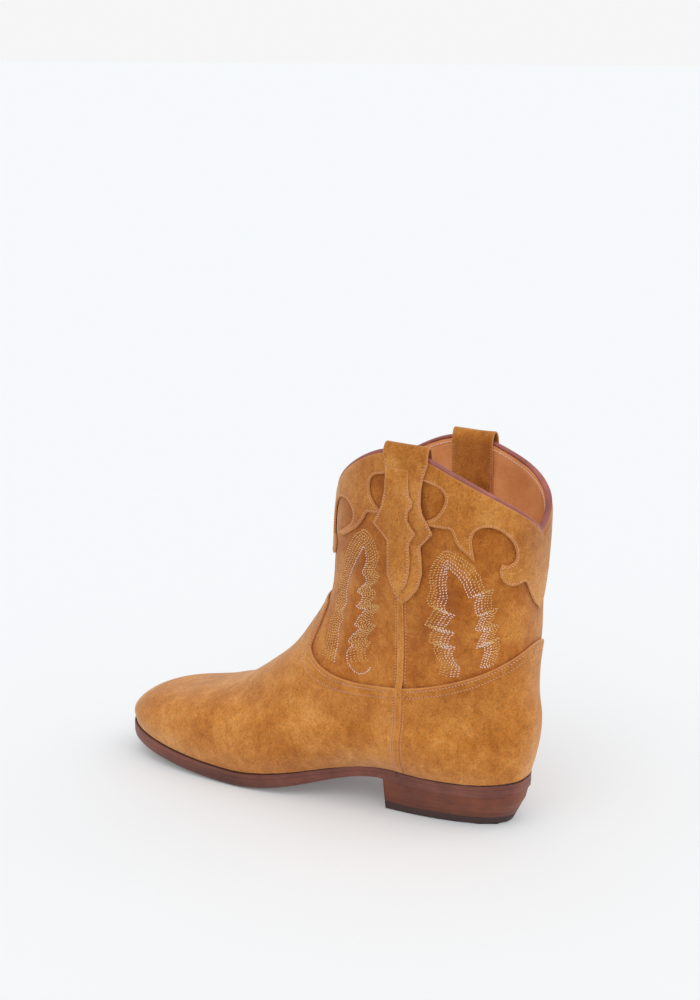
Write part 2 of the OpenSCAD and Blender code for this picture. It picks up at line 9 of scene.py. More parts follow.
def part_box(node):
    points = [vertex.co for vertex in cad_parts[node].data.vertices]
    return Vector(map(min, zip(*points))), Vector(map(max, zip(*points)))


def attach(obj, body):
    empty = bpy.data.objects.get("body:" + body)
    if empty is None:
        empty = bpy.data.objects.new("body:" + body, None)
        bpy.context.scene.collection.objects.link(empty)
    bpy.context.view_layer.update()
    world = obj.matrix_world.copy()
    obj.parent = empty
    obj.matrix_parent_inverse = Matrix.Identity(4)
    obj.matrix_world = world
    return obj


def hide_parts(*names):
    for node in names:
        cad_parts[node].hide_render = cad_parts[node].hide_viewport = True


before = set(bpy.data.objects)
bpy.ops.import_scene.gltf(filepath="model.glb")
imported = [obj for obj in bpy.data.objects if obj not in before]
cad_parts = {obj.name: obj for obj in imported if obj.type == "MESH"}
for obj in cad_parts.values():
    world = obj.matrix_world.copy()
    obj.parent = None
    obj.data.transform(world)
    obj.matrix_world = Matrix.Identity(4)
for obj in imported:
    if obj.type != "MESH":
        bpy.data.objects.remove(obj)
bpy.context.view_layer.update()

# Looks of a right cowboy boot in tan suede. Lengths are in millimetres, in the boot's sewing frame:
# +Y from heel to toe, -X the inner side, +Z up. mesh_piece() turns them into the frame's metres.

MM = 0.001
BODY = "root"

# --- The upper's surface, as the CAD part defines it -------------------------------------------

# [front y, front z, back y, back z, inner half-width, outer half-width, y of the widest place]
SECTIONS = np.array([
    [286, 15, 2.5, 29.5, 39, 42, 180],     # feather line
    [285, 28, 0, 42, 45.5, 46, 173],       # widest part of the toe
    [269, 43, -2.5, 56, 46, 46, 164],      # top of the toe box
    [239, 51, -3.5, 70, 42, 43, 149],      # ball of the foot
    [203, 62, -1.5, 85, 40, 41, 120],      # start of the instep
    [171, 85, -1.5, 101, 39.5, 40.5, 95],  # instep
    [150, 108, -2.5, 118, 39.5, 40.5, 76], # throat
    [135, 132, -3, 138, 41.5, 41.5, 66],   # ankle
    [129.5, 162, -3.5, 163, 44, 44, 62],
    [127.5, 192, -4.5, 190, 45.5, 45.5, 61],
    [124, 218, -4, 213, 45.5, 45.5, 62],
    [118, 240, -2, 236, 45, 45, 62],       # top ring
], float)
LAST = len(SECTIONS) - 1
INSTEP_V = 0.45
TOE_POWER, HEEL_POWER, SHAFT_POWER = 2.2, 3, 2.45
HEEL_TAPER = 0.26
WAIST_Y, WAIST_REACH = 107, 39
WAIST_IN_MEDIAL, WAIST_IN_LATERAL = 13.2, 6
TOE_SWING, TOE_SWING_FROM, TOE_SWING_OVER = -5.7, 170, 100
SEAT_Z, BALL_Z, TOE_Z = 29.5, 10.0, 18
SEAT_RISE, SEAT_RISE_Y = 3, 40
SEAT_END_Y, BALL_Y, SPRING_Y, TOE_END_Y = 75, 195, 182, 268
SIDE_DROP, DROP_V, DROP_BACK_SHARE, DROP_BACK_Y = 8, 0.45, 0.3, 62
SEAM_Y_LOW, SEAM_LEAN = 73, 9
VAMP_SIDE_V = 0.434
V_CUT = 0.18
TOP_MARGIN, BOTTOM_V, UNDERLAP = 0.0035, 0.005, 0.035
SEAM_SHARE = 0.006

# Layers, as distances from the outer face of the shaft
SHAFT_OUT, SHAFT_IN = -0.1, -1.5
LINING_OUT, LINING_IN, LINING_RIM_IN = -1.9, -3.1, -2.6
COVER_IN, COVER_OUT, COVER_RIM_OUT = 0.3, 1.7, 1.05
STRAP_IN, STRAP_OUT = 2.4, 3.6
OVERLAY_IN, OVERLAY_OUT = 4.0, 5.2
INNER_LEG_OUT, INNER_LEG_IN = -3.8, -5.0
BINDING_MID, BINDING_R, BINDING_H, BINDING_LOW_H = -0.75, 2.0, 1.3, 1.9
SKIVE_OVER = 6.0       # the leathers thin out over this length below the rim


def clamp01(t):
    return np.clip(t, 0, 1)


def smooth(a, b, t):
    u = clamp01((t - a) / (b - a))
    return u * u * (3 - 2 * u)


def mix(a, b, t):
    return a + (b - a) * t


def unit(p):
    return p / np.maximum(np.linalg.norm(p, axis=-1, keepdims=True), 1e-9)


def section(v):
    """Catmull-Rom curve through the sections"""
    rows = np.vstack([2 * SECTIONS[0] - SECTIONS[1], SECTIONS, 2 * SECTIONS[-1] - SECTIONS[-2]])
    t = clamp01(v) * LAST
    i = np.minimum(np.floor(t).astype(int), LAST - 1)
    f = (t - i)[..., None]
    p, a, b, q = rows[i], rows[i + 1], rows[i + 2], rows[i + 3]
    return 0.5 * (2 * a + (b - p) * f + (2 * p - 5 * a + 4 * b - q) * f ** 2
                  + (3 * a - p - 3 * b + q) * f ** 3)


def power_at(v, forward):
    return mix(SHAFT_POWER, np.where(forward, TOE_POWER, HEEL_POWER), clamp01(1 - v / INSTEP_V))


def feather_z(y):
    """Height of the feather line: heel seat, arch, ball and toe spring"""
    seat = SEAT_RISE * clamp01((SEAT_RISE_Y - y) / SEAT_RISE_Y) ** 2
    spring = (TOE_Z - BALL_Z) * np.maximum(0, (y - SPRING_Y) / (TOE_END_Y - SPRING_Y)) ** 2
    return mix(SEAT_Z, BALL_Z, smooth(SEAT_END_Y, BALL_Y, y)) + seat + spring


def upper(a, v):
    """Point on the outer face. a is the angle round the boot in degrees: 0 toe, 90 inner side, 180 heel"""
    a, v = np.broadcast_arrays(np.asarray(a, float), np.asarray(v, float))
    front_y, front_z, back_y, back_z, half_in, half_out, wide_y = np.moveaxis(section(v), -1, 0)
    c, s_a = np.cos(np.radians(a)), np.sin(np.radians(a))
    k = clamp01(1 - v / INSTEP_V)
    forward, medial = c > 0, s_a > 0
    n = power_at(v, forward)
    r = (np.abs(c) ** n + np.abs(s_a) ** n) ** (1 / n)
    along, across = c / r, s_a / r
    y = wide_y + along * np.where(forward, front_y - wide_y, wide_y - back_y)
    narrow = np.where(forward, 1, 1 - HEEL_TAPER * k * np.maximum(0, -along) ** 1.5)
    pinch = np.where(medial, WAIST_IN_MEDIAL, WAIST_IN_LATERAL) * k * k
    pinch = pinch * np.exp(-((y - WAIST_Y) / WAIST_REACH) ** 2)
    swing = TOE_SWING * np.maximum(0, (y - TOE_SWING_FROM) / TOE_SWING_OVER) ** 2
    x = -across * (np.where(medial, half_in, half_out) * narrow - pinch) + swing
    z = mix(back_z, front_z, (y - back_y) / (front_y - back_y))
    low = SECTIONS[0]
    chord = mix(low[3], low[1], (y - low[2]) / (low[0] - low[2]))
    drop = SIDE_DROP * smooth(DROP_V, 1, v) * (0.5 + x / (SECTIONS[LAST][4] + SECTIONS[LAST][5]))
    drop = drop * mix(DROP_BACK_SHARE, 1, smooth(0, DROP_BACK_Y, y))
    z = z + (feather_z(y) - chord) * k ** 1.5 - drop
    return np.stack([x, y, z], axis=-1)


def normal_at(a, v):
    a, v = np.broadcast_arrays(np.asarray(a, float), np.asarray(v, float))
    turn, rise = 0.5, 0.003
    round_it = upper(a + turn, v) - upper(a - turn, v)
    up_it = upper(a, np.minimum(1, v + rise)) - upper(a, np.maximum(0, v - rise))
    return unit(np.cross(round_it, up_it))


def rumple(p):
    """Soft unevenness of worn leather; every layer has the same, so layers keep their distance"""
    x, y, z = np.moveaxis(p, -1, 0)
    wave = np.sin(x / 13 + z / 21 + 1.3) * np.sin(y / 15 - z / 27 + 0.4)
    wave = wave + 0.6 * np.sin(x / 8 - y / 11 + z / 12) * np.sin(z / 17 + y / 29 + 2.1)
    calm = smooth(14, 70, z) * (1 - smooth(205, 236, z))
    return 0.5 * wave * calm


def skin(a, v, d):
    """Point at a distance d outside the outer face"""
    p = upper(a, v)
    return p + (d + rumple(p))[..., None] * normal_at(a, v)


def angle_at(y, v):
    """Angle at which the section at v passes a given y on the inner side"""
    y, v = np.broadcast_arrays(np.asarray(y, float), np.asarray(v, float))
    front_y, _, back_y, _, _, _, wide_y = np.moveaxis(section(v), -1, 0)
    forward = y > wide_y
    n = power_at(v, forward)
    share = np.minimum(1, np.abs(y - wide_y) / np.where(forward, front_y - wide_y, wide_y - back_y))
    a = np.degrees(np.arctan2((1 - share ** n) ** (1 / n), share))
    return np.where(forward, a, 180 - a)


def seam_angle(v):
    return angle_at(SEAM_Y_LOW - SEAM_LEAN * np.asarray(v, float), v)


# Panels run from one side seam (w = -1, inner) over the middle (0) to the other (1)
def front_angle(w, v):
    return -w * seam_angle(v)


def back_angle(w, v):
    return 180 + w * (180 - seam_angle(v))


def panel_place(front, low, high, rise=1.0):
    """Angle and height over the unit square of a panel between the edges low(s) and high(s)"""
    def place(U, V):
        w, s = (2 * U - 1) * (1 - SEAM_SHARE), 1 - np.abs(2 * U - 1)
        v = mix(low(s), high(s), V ** rise)
        return (front_angle if front else back_angle)(w, v), v
    return place


def bottom(s):
    return np.full_like(s, BOTTOM_V)


# Edges of the panels, as heights v against s: 0 at the side seam, 1 at the middle line
def vamp_edge(s):
    return (VAMP_SIDE_V + 0.1 * np.minimum(1, s / 0.58) ** 2.2 + 0.105 * smooth(0.53, 0.64, s)
            + 0.015 * clamp01((s - 0.64) / 0.36))


def counter_edge(s):
    return VAMP_SIDE_V + 0.13 * smooth(-0.03, 1, s)


def top_front(s):
    t = clamp01((s - 0.13) / 0.87)
    return 1 - V_CUT * (0.75 * smooth(0, 1, t) + 0.25 * t)


def top_back(s):
    t = (s - 0.14) / 0.86
    return 1 - V_CUT * 0.488 * (t + np.sqrt(t * t + 0.004))


# The frame says how far the sewing frame's origin is from the part's
nose = skin(0.0, np.linspace(BOTTOM_V, 0.3, 60), COVER_OUT)[:, 1].max()
SHIFT = np.array([0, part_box("vamp")[1].y / MM - nose, 0])

# --- Materials ---------------------------------------------------------------------------------


class Nodes:
    """Short way to build a node tree"""

    def __init__(self, tree):
        self.tree = tree
        tree.nodes.clear()

    def add(self, kind, **values):
        """New node. Lower-case names are its settings, the others its sockets"""
        node = self.tree.nodes.new("ShaderNode" + kind)
        for key, value in values.items():
            if key.islower():
                setattr(node, key, value)
            else:
                node.inputs[key.replace("_", " ")].default_value = value
        return node

    def link(self, source, target, socket):
        self.tree.links.new(source, target.inputs[socket])

    def coordinates(self, scale=(1, 1, 1)):
        """Object coordinates in metres, stretched by scale"""
        place = self.add("Mapping", Scale=scale)
        self.link(self.add("TexCoord").outputs["Object"], place, "Vector")
        return place.outputs["Vector"]

    def noise(self, scale, detail=3.0, rough=0.55, stretch=(1, 1, 1), warp=0.0):
        node = self.add("TexNoise", Scale=scale, Detail=detail, Roughness=rough, Distortion=warp)
        self.link(self.coordinates(stretch), node, "Vector")
        return node.outputs["Fac"]

    def cells(self, scale, feature="F1"):
        node = self.add("TexVoronoi", feature=feature, Scale=scale)
        self.link(self.coordinates(), node, "Vector")
        return node.outputs["Distance"]

    def ramp(self, value, stops):
        node = self.add("ValToRGB")
        elements = node.color_ramp.elements
        while len(elements) < len(stops):
            elements.new(0.5)
        for element, (place, colour) in zip(elements, stops):
            element.position = place
            element.color = (*colour, 1)
        self.link(value, node, "Fac")
        return node.outputs["Color"]

    def grey(self, value, low, high):
        """Maps a value from 0.3..0.7, where noise mostly lies, to low..high"""
        node = self.add("MapRange", From_Min=0.3, From_Max=0.7, To_Min=low, To_Max=high)
        self.link(value, node, "Value")
        return node.outputs["Result"]

    def by_height(self, low, at_low, high, at_high):
        """Grey factor that runs from one value to another between two heights in metres"""
        height = self.add("SeparateXYZ")
        self.link(self.coordinates(), height, "Vector")
        node = self.add("MapRange", From_Min=low, From_Max=high, To_Min=at_low, To_Max=at_high)
        self.link(height.outputs["Z"], node, "Value")
        return node.outputs["Result"]

    def math(self, operation, a, b):
        node = self.add("Math", operation=operation)
        for index, value in enumerate((a, b)):
            if isinstance(value, (int, float)):
                node.inputs[index].default_value = value
            else:
                self.tree.links.new(value, node.inputs[index])
        return node.outputs[0]

    def blend(self, mode, factor, a, b):
        node = self.add("Mix", data_type="RGBA", blend_type=mode)
        for index, value in ((0, factor), (6, a), (7, b)):
            if isinstance(value, (int, float)):
                node.inputs[index].default_value = value
            elif isinstance(value, tuple):
                node.inputs[index].default_value = (*value, 1)
            else:
                self.tree.links.new(value, node.inputs[index])
        return node.outputs[2]

    def shade(self, colour, factor):
        """Colour times a grey factor"""
        return self.blend("MULTIPLY", 1.0, colour, factor)

    def bump(self, height, distance, strength=1.0, below=None):
        node = self.add("Bump", Strength=strength, Distance=distance)
        self.link(height, node, "Height")
        if below is not None:
            self.link(below, node, "Normal")
        return node.outputs["Normal"]

    def surface(self, colour, rough, normal=None, **constants):
        shader = self.add("BsdfPrincipled")
        for key, value in constants.items():
            shader.inputs[key.replace("_", " ")].default_value = value
        if isinstance(rough, (int, float)):
            shader.inputs["Roughness"].default_value = rough
        else:
            self.link(rough, shader, "Roughness")
        if isinstance(colour, tuple):
            shader.inputs["Base Color"].default_value = (*colour, 1)
        else:
            self.link(colour, shader, "Base Color")
        if normal is not None:
            self.link(normal, shader, "Normal")
        out = self.add("OutputMaterial")
        self.link(shader.outputs[0], out, "Surface")


def material(name, colour):
    made = bpy.data.materials.new(name)
    made.use_nodes = True
    made.diffuse_color = (*colour, 1)
    return made, Nodes(made.node_tree)


def srgb(r, g, b):
    """Linear colour of an 0..255 sRGB triple"""
    return tuple(((c / 255 + 0.055) / 1.055) ** 2.4 for c in (r, g, b))


def suede(name, dark, middle, light, cloud=34.0):
    """Napped split leather: cloudy where the nap lies differently, with fine fibres and a soft sheen"""
    made, n = material(name, middle)
    patches = n.noise(cloud, 4, 0.55, (1, 1, 0.9), 0.3)
    strokes = n.noise(130, 5, 0.66, (1, 1, 0.85), 0.6)
    fibres = n.noise(1250, 2, 0.7)
    grit = n.noise(600, 3, 0.75)
    tone = n.math("ADD", n.math("MULTIPLY", patches, 0.6), n.math("MULTIPLY", strokes, 0.4))
    colour = n.ramp(tone, [(0.37, dark), (0.5, middle), (0.63, light)])
    colour = n.shade(colour, n.grey(fibres, 0.78, 1.2))
    colour = n.shade(colour, n.grey(grit, 0.84, 1.14))
    specks = n.add("MapRange", From_Min=0.6, From_Max=0.72, To_Min=1.0, To_Max=0.66)
    n.link(n.noise(520, 2, 0.6), specks, "Value")
    colour = n.shade(colour, specks.outputs["Result"])
    # Painted light: the suede is painted brighter towards the ground, standing in for light bounced off the
    # floor, and darker towards the top
    colour = n.shade(colour, n.by_height(0.02, 1.05, 0.20, 0.91))
    edge = n.add("Attribute", attribute_name="edge")
    colour = n.blend("MIX", n.math("MULTIPLY", edge.outputs["Fac"], 0.5), colour, srgb(216, 148, 92))
    normal = n.bump(patches, 0.0008, 0.5)
    normal = n.bump(grit, 0.00035, 0.7, normal)
    normal = n.bump(fibres, 0.00018, 0.9, normal)
    n.surface(colour, 0.93, normal, Specular_IOR_Level=0.18, Sheen_Weight=0.46, Sheen_Roughness=0.5,
              Sheen_Tint=(1.0, 0.84, 0.66, 1))
    return made


def smooth_leather(name, dark, light, rough, grain, coat=0.0):
    """Finished leather: faint clouds, pores and fine creases"""
    made, n = material(name, light)
    clouds = n.noise(45, 4, 0.6, (1, 1, 1), 0.3)
    pores = n.cells(grain, "F1")
    creases = n.noise(grain * 0.4, 5, 0.65, (1, 1, 1), 0.8)
    colour = n.ramp(clouds, [(0.34, dark), (0.66, light)])
    colour = n.shade(colour, n.grey(creases, 0.9, 1.08))
    normal = n.bump(creases, 0.0003, 0.35)
    normal = n.bump(pores, 0.00012, 0.35, normal)
    n.surface(colour, n.grey(creases, rough - 0.06, rough + 0.08), normal, Specular_IOR_Level=0.4,
              Coat_Weight=coat, Coat_Roughness=0.35)
    return made


def sole_edge(name, dark, light, rough):
    """Trimmed and burnished leather edge: fine lines along it, wax sheen, dark near the ground"""
    made, n = material(name, light)
    lines = n.noise(55, 5, 0.7, (1, 1, 22))
    clouds = n.noise(48, 3, 0.6)
    specks = n.noise(900, 2, 0.7)
    tone = n.math("ADD", n.math("MULTIPLY", lines, 0.4), n.math("MULTIPLY", clouds, 0.6))
    colour = n.ramp(tone, [(0.36, dark), (0.64, light)])
    colour = n.shade(colour, n.grey(specks, 0.9, 1.1))
    colour = n.shade(colour, n.by_height(0.004, 0.62, 0.011, 1.0))
    # Painted dark where the edge attribute is 1, on the welt's upper shelf: partly dye, partly painted shade
    # of the crevice under the upper
    dye_and_shade = n.add("Attribute", attribute_name="edge")
    colour = n.blend("MIX", dye_and_shade.outputs["Fac"], colour, srgb(46, 24, 18))
    normal = n.bump(lines, 0.0003, 0.25)
    normal = n.bump(specks, 0.00008, 0.5, normal)
    n.surface(colour, n.grey(clouds, rough - 0.08, rough + 0.1), normal, Specular_IOR_Level=0.38,
              Coat_Weight=0.16, Coat_Roughness=0.3)
    return made


def rubber(name, colour):
    """Moulded rubber with a fine matt grain"""
    made, n = material(name, colour)
    grain = n.noise(1300, 3, 0.7)
    dust = n.noise(60, 4, 0.6)
    tint = n.shade(n.ramp(dust, [(0.35, colour), (0.7, tuple(c * 1.5 for c in colour))]),
                   n.grey(grain, 0.88, 1.1))
    n.surface(tint, n.grey(dust, 0.6, 0.78), n.bump(grain, 0.00012, 0.6), Specular_IOR_Level=0.35)
    return made


def thread(name, colour):
    """Twisted waxed thread"""
    made, n = material(name, colour)
    twist = n.noise(2600, 1, 0.5)
    tint = n.shade(n.ramp(n.noise(90), [(0.3, tuple(c * 0.82 for c in colour)), (0.7, colour)]),
                   n.grey(twist, 0.8, 1.15))
    n.surface(tint, 0.6, n.bump(twist, 0.0001, 0.6), Sheen_Weight=0.15, Specular_IOR_Level=0.35)
    return made


def fibre_board(name, dark, light, scale):
    """Pressed fibre, cork or undyed leather that lies inside"""
    made, n = material(name, light)
    lumps = n.cells(scale)
    dust = n.noise(scale * 2.4, 3, 0.7)
    colour = n.shade(n.ramp(lumps, [(0.1, dark), (0.6, light)]), n.grey(dust, 0.85, 1.1))
    n.surface(colour, 0.85, n.bump(dust, 0.0003, 0.5), Specular_IOR_Level=0.25)
    return made


def metal(name, colour, rough):
    """Drawn or rolled metal with faint tarnish"""
    made, n = material(name, colour)
    tarnish = n.noise(400, 3, 0.6)
    tint = n.ramp(tarnish, [(0.3, tuple(c * 0.7 for c in colour)), (0.7, colour)])
    n.surface(tint, n.grey(tarnish, rough - 0.08, rough + 0.12), n.bump(tarnish, 0.00005, 0.4), Metallic=1.0)
    return made


SUEDE = suede("suede_tan", srgb(168, 96, 26), srgb(193, 121, 47), srgb(214, 146, 72), 26.0)
SHAFT_SUEDE = suede("suede_shaft", srgb(154, 80, 16), srgb(180, 104, 32), srgb(202, 130, 54), 30.0)
LINING = smooth_leather("lining_leather", srgb(224, 150, 92), srgb(244, 176, 116), 0.5, 1400)
BINDING = smooth_leather("binding_leather", srgb(136, 70, 62), srgb(170, 96, 86), 0.38, 1700, 0.2)
EDGE = sole_edge("sole_edge", srgb(94, 46, 36), srgb(132, 76, 60), 0.46)
HEEL = sole_edge("stacked_leather", srgb(94, 42, 24), srgb(136, 72, 44), 0.52)
RUBBER = rubber("top_lift_rubber", srgb(66, 48, 46))
THREAD_PALE = thread("thread_pale", srgb(246, 214, 196))
THREAD_ROSE = thread("thread_rose", srgb(232, 172, 138))
THREAD_GOLD = thread("thread_gold", srgb(232, 182, 116))
# Needle holes: their dark colour is painted shade of the holes' recesses
HOLE = thread("needle_hole", srgb(96, 50, 24))
# Dark cord between the upper and the welt: its colour is painted shade of that crevice
CREASE_SHADE = rubber("crease_shade_dark", srgb(52, 28, 20))
BRASS = metal("brass", srgb(206, 170, 96), 0.35)
STEEL = metal("spring_steel", srgb(170, 172, 178), 0.32)
FIBRE = fibre_board("pressed_fibre", srgb(170, 146, 112), srgb(206, 186, 150), 900)
CORK = fibre_board("cork", srgb(120, 76, 44), srgb(186, 138, 90), 420)
BOARD = fibre_board("insole_leather", srgb(176, 144, 104), srgb(206, 178, 140), 700)

# --- Mesh building -----------------------------------------------------------------------------

def mesh_piece(name, points, faces, made_of, replaces=(), edge=None):
    """Closed mesh from points in millimetres, turned outside out, riding on the boot"""
    points = np.asarray(points, float) + SHIFT
    faces = [tuple(int(i) for i in f) for f in faces]
    fan = np.array([(f[0], f[k], f[k + 1]) for f in faces for k in range(1, len(f) - 1)])
    a, b, c = points[fan[:, 0]], points[fan[:, 1]], points[fan[:, 2]]
    if np.einsum("ij,ij->i", a, np.cross(b, c)).sum() < 0:
        faces = [f[::-1] for f in faces]
    mesh = bpy.data.meshes.new(name)
    mesh.from_pydata((points * MM).tolist(), [], faces)
    mesh.polygons.foreach_set("use_smooth", [True] * len(faces))
    if edge is not None:
        mesh.attributes.new("edge", "FLOAT", "POINT").data.foreach_set("value", edge.astype(np.float32))
    mesh.materials.append(made_of)
    mesh.update()
    piece = bpy.data.objects.new(name, mesh)
    bpy.context.scene.collection.objects.link(piece)
    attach(piece, BODY)
    if replaces:
        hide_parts(*replaces)
    return piece


LIP = 0.8              # width of a cut edge's rounding
LIP_STEPS = np.array([0, 0.05, 0.2, 0.5, 1.0]) * LIP


def lip_profile(distance):
    """Share of a leather's half-thickness at a distance from its cut edge"""
    t = clamp01(distance / LIP)
    return (1 - (1 - t) ** 3) ** (1 / 3)


def lip_steps(count, length):
    """Places 0..1 across a panel: close together at its two edges, even between them"""
    near = LIP_STEPS / length
    inside = np.linspace(near[-1], 1 - near[-1], count)
    return np.concatenate([near[:-1], inside, 1 - near[-2::-1]])


def edge_wear(distance):
    """1 on a cut edge, fading to 0 over the napped face"""
    return np.exp(-(distance / 0.7) ** 2)


def grid_piece(name, faces_at, m, n, made_of, replaces=()):
    """Leather sheet. faces_at(U, V) gives its outer and inner faces and relief over the unit square"""
    U, V = np.meshgrid(np.linspace(0, 1, 41), np.linspace(0, 1, 41), indexing="ij")
    rough = faces_at(U, V)[0]
    len_u = np.linalg.norm(np.diff(rough, axis=0), axis=-1).sum(axis=0)
    len_v = np.linalg.norm(np.diff(rough, axis=1), axis=-1).sum(axis=1)
    across = lip_steps(m, len_u.mean())
    len_v = np.interp(across, np.linspace(0, 1, 41), len_v)
    rows = np.array([lip_steps(n, max(length, 3 * LIP)) for length in len_v])
    U = np.repeat(across[:, None], rows.shape[1], axis=1)
    outer, inner = faces_at(U, rows)
    gap_u = np.minimum(U, 1 - U) * len_u.mean()
    gap_v = np.minimum(rows, 1 - rows) * np.maximum(len_v, 3 * LIP)[:, None]
    gap = np.minimum(gap_u, gap_v)
    share = lip_profile(gap)[..., None]
    middle = (outer + inner) / 2
    outer, inner = middle + (outer - middle) * share, middle + (inner - middle) * share
    rows_m, rows_n = gap.shape
    top = np.arange(gap.size).reshape(gap.shape)
    under = top.copy()
    under[1:-1, 1:-1] = gap.size + np.arange((rows_m - 2) * (rows_n - 2)).reshape(rows_m - 2, -1)
    points = np.concatenate([outer.reshape(-1, 3), inner[1:-1, 1:-1].reshape(-1, 3)])
    faces = quads(top) + [f[::-1] for f in quads(under)]
    wear = np.concatenate([edge_wear(gap).ravel(), edge_wear(gap)[1:-1, 1:-1].ravel()])
    return mesh_piece(name, points, faces, made_of, replaces, wear)


def quads(index, closed=False):
    """Quads of an index grid; closed joins its last row to its first"""
    if closed:
        index = np.vstack([index, index[:1]])
    a, b, c, d = index[:-1, :-1], index[1:, :-1], index[1:, 1:], index[:-1, 1:]
    return np.stack([a, b, c, d], axis=-1).reshape(-1, 4).tolist()


def panel(name, place, m, n, out_d, in_d, made_of, replaces=(), relief=None):
    """Leather panel on the boot: place(U, V) gives angle and height, relief(a, v) adds to its outer face"""
    def faces_at(U, V):
        a, v = place(U, V)
        raised = 0 if relief is None else relief(a, v)
        return skin(a, v, out_d + raised), skin(a, v, in_d)
    return grid_piece(name, faces_at, m, n, made_of, replaces)


def segment_distance(points, line, closed=True):
    """Distance of each 2-D point to a polyline"""
    ends = np.roll(line, -1, axis=0) if closed else line[1:]
    starts = line if closed else line[:-1]
    step = ends - starts
    size = np.maximum((step ** 2).sum(axis=1), 1e-12)
    best = np.full(len(points), np.inf)
    for chunk in range(0, len(points), 4000):
        p = points[chunk:chunk + 4000, None, :] - starts[None]
        t = clamp01((p * step[None]).sum(axis=-1) / size[None])
        best[chunk:chunk + 4000] = np.sqrt(((p - t[..., None] * step[None]) ** 2).sum(axis=-1).min(axis=1))
    return best


def inside(points, outline):
    """Even-odd test of 2-D points in a closed outline"""
    x, y = points[:, 0], points[:, 1]
    hit = np.zeros(len(points), bool)
    for (x0, y0), (x1, y1) in zip(outline, np.roll(outline, -1, axis=0)):
        if y0 != y1:
            hit ^= ((y0 > y) != (y1 > y)) & (x < (x1 - x0) * (y - y0) / (y1 - y0) + x0)
    return hit


def curve(points, step=0.8, closed=False, sharp=()):
    """Catmull-Rom line through points, evenly spaced. The line turns sharply at the points in sharp"""
    points = np.asarray(points, float)
    count = len(points)
    pieces = []
    for i in range(count if closed else count - 1):
        a, b = points[i], points[(i + 1) % count]
        before = points[(i - 1) % count] if closed or i > 0 else 2 * a - b
        after = points[(i + 2) % count] if closed or i + 2 < count else 2 * b - a
        if i in sharp:
            before = 2 * a - b
        if (i + 1) % count in sharp:
            after = 2 * b - a
        steps = max(2, int(np.ceil(np.linalg.norm(b - a) / step)))
        f = (np.arange(steps) / steps)[:, None]
        pieces.append(0.5 * (2 * a + (b - before) * f + (2 * before - 5 * a + 4 * b - after) * f ** 2
                             + (3 * a - before - 3 * b + after) * f ** 3))
    if not closed:
        pieces.append(points[-1:])
    return np.concatenate(pieces)


def fill(outline, spacing, rings=()):
    """Triangles over a closed 2-D outline: points, faces and each point's distance to the outline"""
    low, high = outline.min(axis=0), outline.max(axis=0)
    rows = np.arange(low[1], high[1], spacing * math.sqrt(3) / 2)
    grid = np.array([(x + spacing / 2 * (k % 2), y) for k, y in enumerate(rows)
                     for x in np.arange(low[0], high[0], spacing)])
    gap = segment_distance(grid, outline)
    keep = (gap > max([spacing * 0.5] + [r + spacing * 0.3 for r in rings])) & inside(grid, outline)
    extra = [grid[keep]]
    ahead = unit(np.roll(outline, -1, axis=0) - np.roll(outline, 1, axis=0))
    aside = np.stack([-ahead[:, 1], ahead[:, 0]], axis=1)
    for ring in rings:
        for side in (1, -1):
            near = outline + side * ring * aside
            good = inside(near, outline) & (segment_distance(near, outline) > ring * 0.85)
            extra.append(near[good])
    points = np.concatenate([outline] + extra)
    count = len(outline)
    border = [(i, (i + 1) % count) for i in range(count)]
    made = delaunay_2d_cdt([Vector(p) for p in points], border, [], 1, 1e-4)
    flat = np.array([tuple(p) for p in made[0]])
    order = np.full(len(flat), -1)
    for new, old in enumerate(made[3]):
        first = [o for o in old if o < count]
        order[new] = first[0] if first else -1
    return flat, [tuple(f) for f in made[2]], segment_distance(flat, outline), order


def cut_piece(name, outline, place, out_at, in_d, made_of, replaces=(), spacing=1.3):
    """Leather cut to a closed outline in flat millimetres. place(flat) gives angle and height,
    out_at(flat) the distance of its outer face"""
    flat, faces, gap, order = fill(outline, spacing, LIP_STEPS[1:])
    gap[order >= 0] = 0
    a, v = place(flat)
    out_d = out_at(flat)
    share = lip_profile(gap)
    middle, half = (out_d + in_d) / 2, (out_d - in_d) / 2
    outer, inner = skin(a, v, middle + half * share), skin(a, v, middle - half * share)
    within = np.flatnonzero(order < 0)
    under = np.arange(len(flat))
    under[within] = len(flat) + np.arange(len(within))
    faces = faces + [tuple(under[i] for i in f[::-1]) for f in faces]
    wear = np.concatenate([edge_wear(gap), edge_wear(gap)[within]])
    return mesh_piece(name, np.concatenate([outer, inner[within]]), faces, made_of, replaces, wear)


# --- Stitching ---------------------------------------------------------------------------------

PITCH = 2.0
THREAD_R = 0.3


def resample(points, normals, pitch):
    """Points and normals a stitch apart along a line"""
    steps = np.linalg.norm(np.diff(points, axis=0), axis=1)
    run = np.concatenate([[0], np.cumsum(steps)])
    count = max(2, int(round(run[-1] / pitch)) + 1)
    at = np.linspace(0, run[-1], count)
    place = np.stack([np.interp(at, run, points[:, k]) for k in range(3)], axis=1)
    face = unit(np.stack([np.interp(at, run, normals[:, k]) for k in range(3)], axis=1))
    return place, face


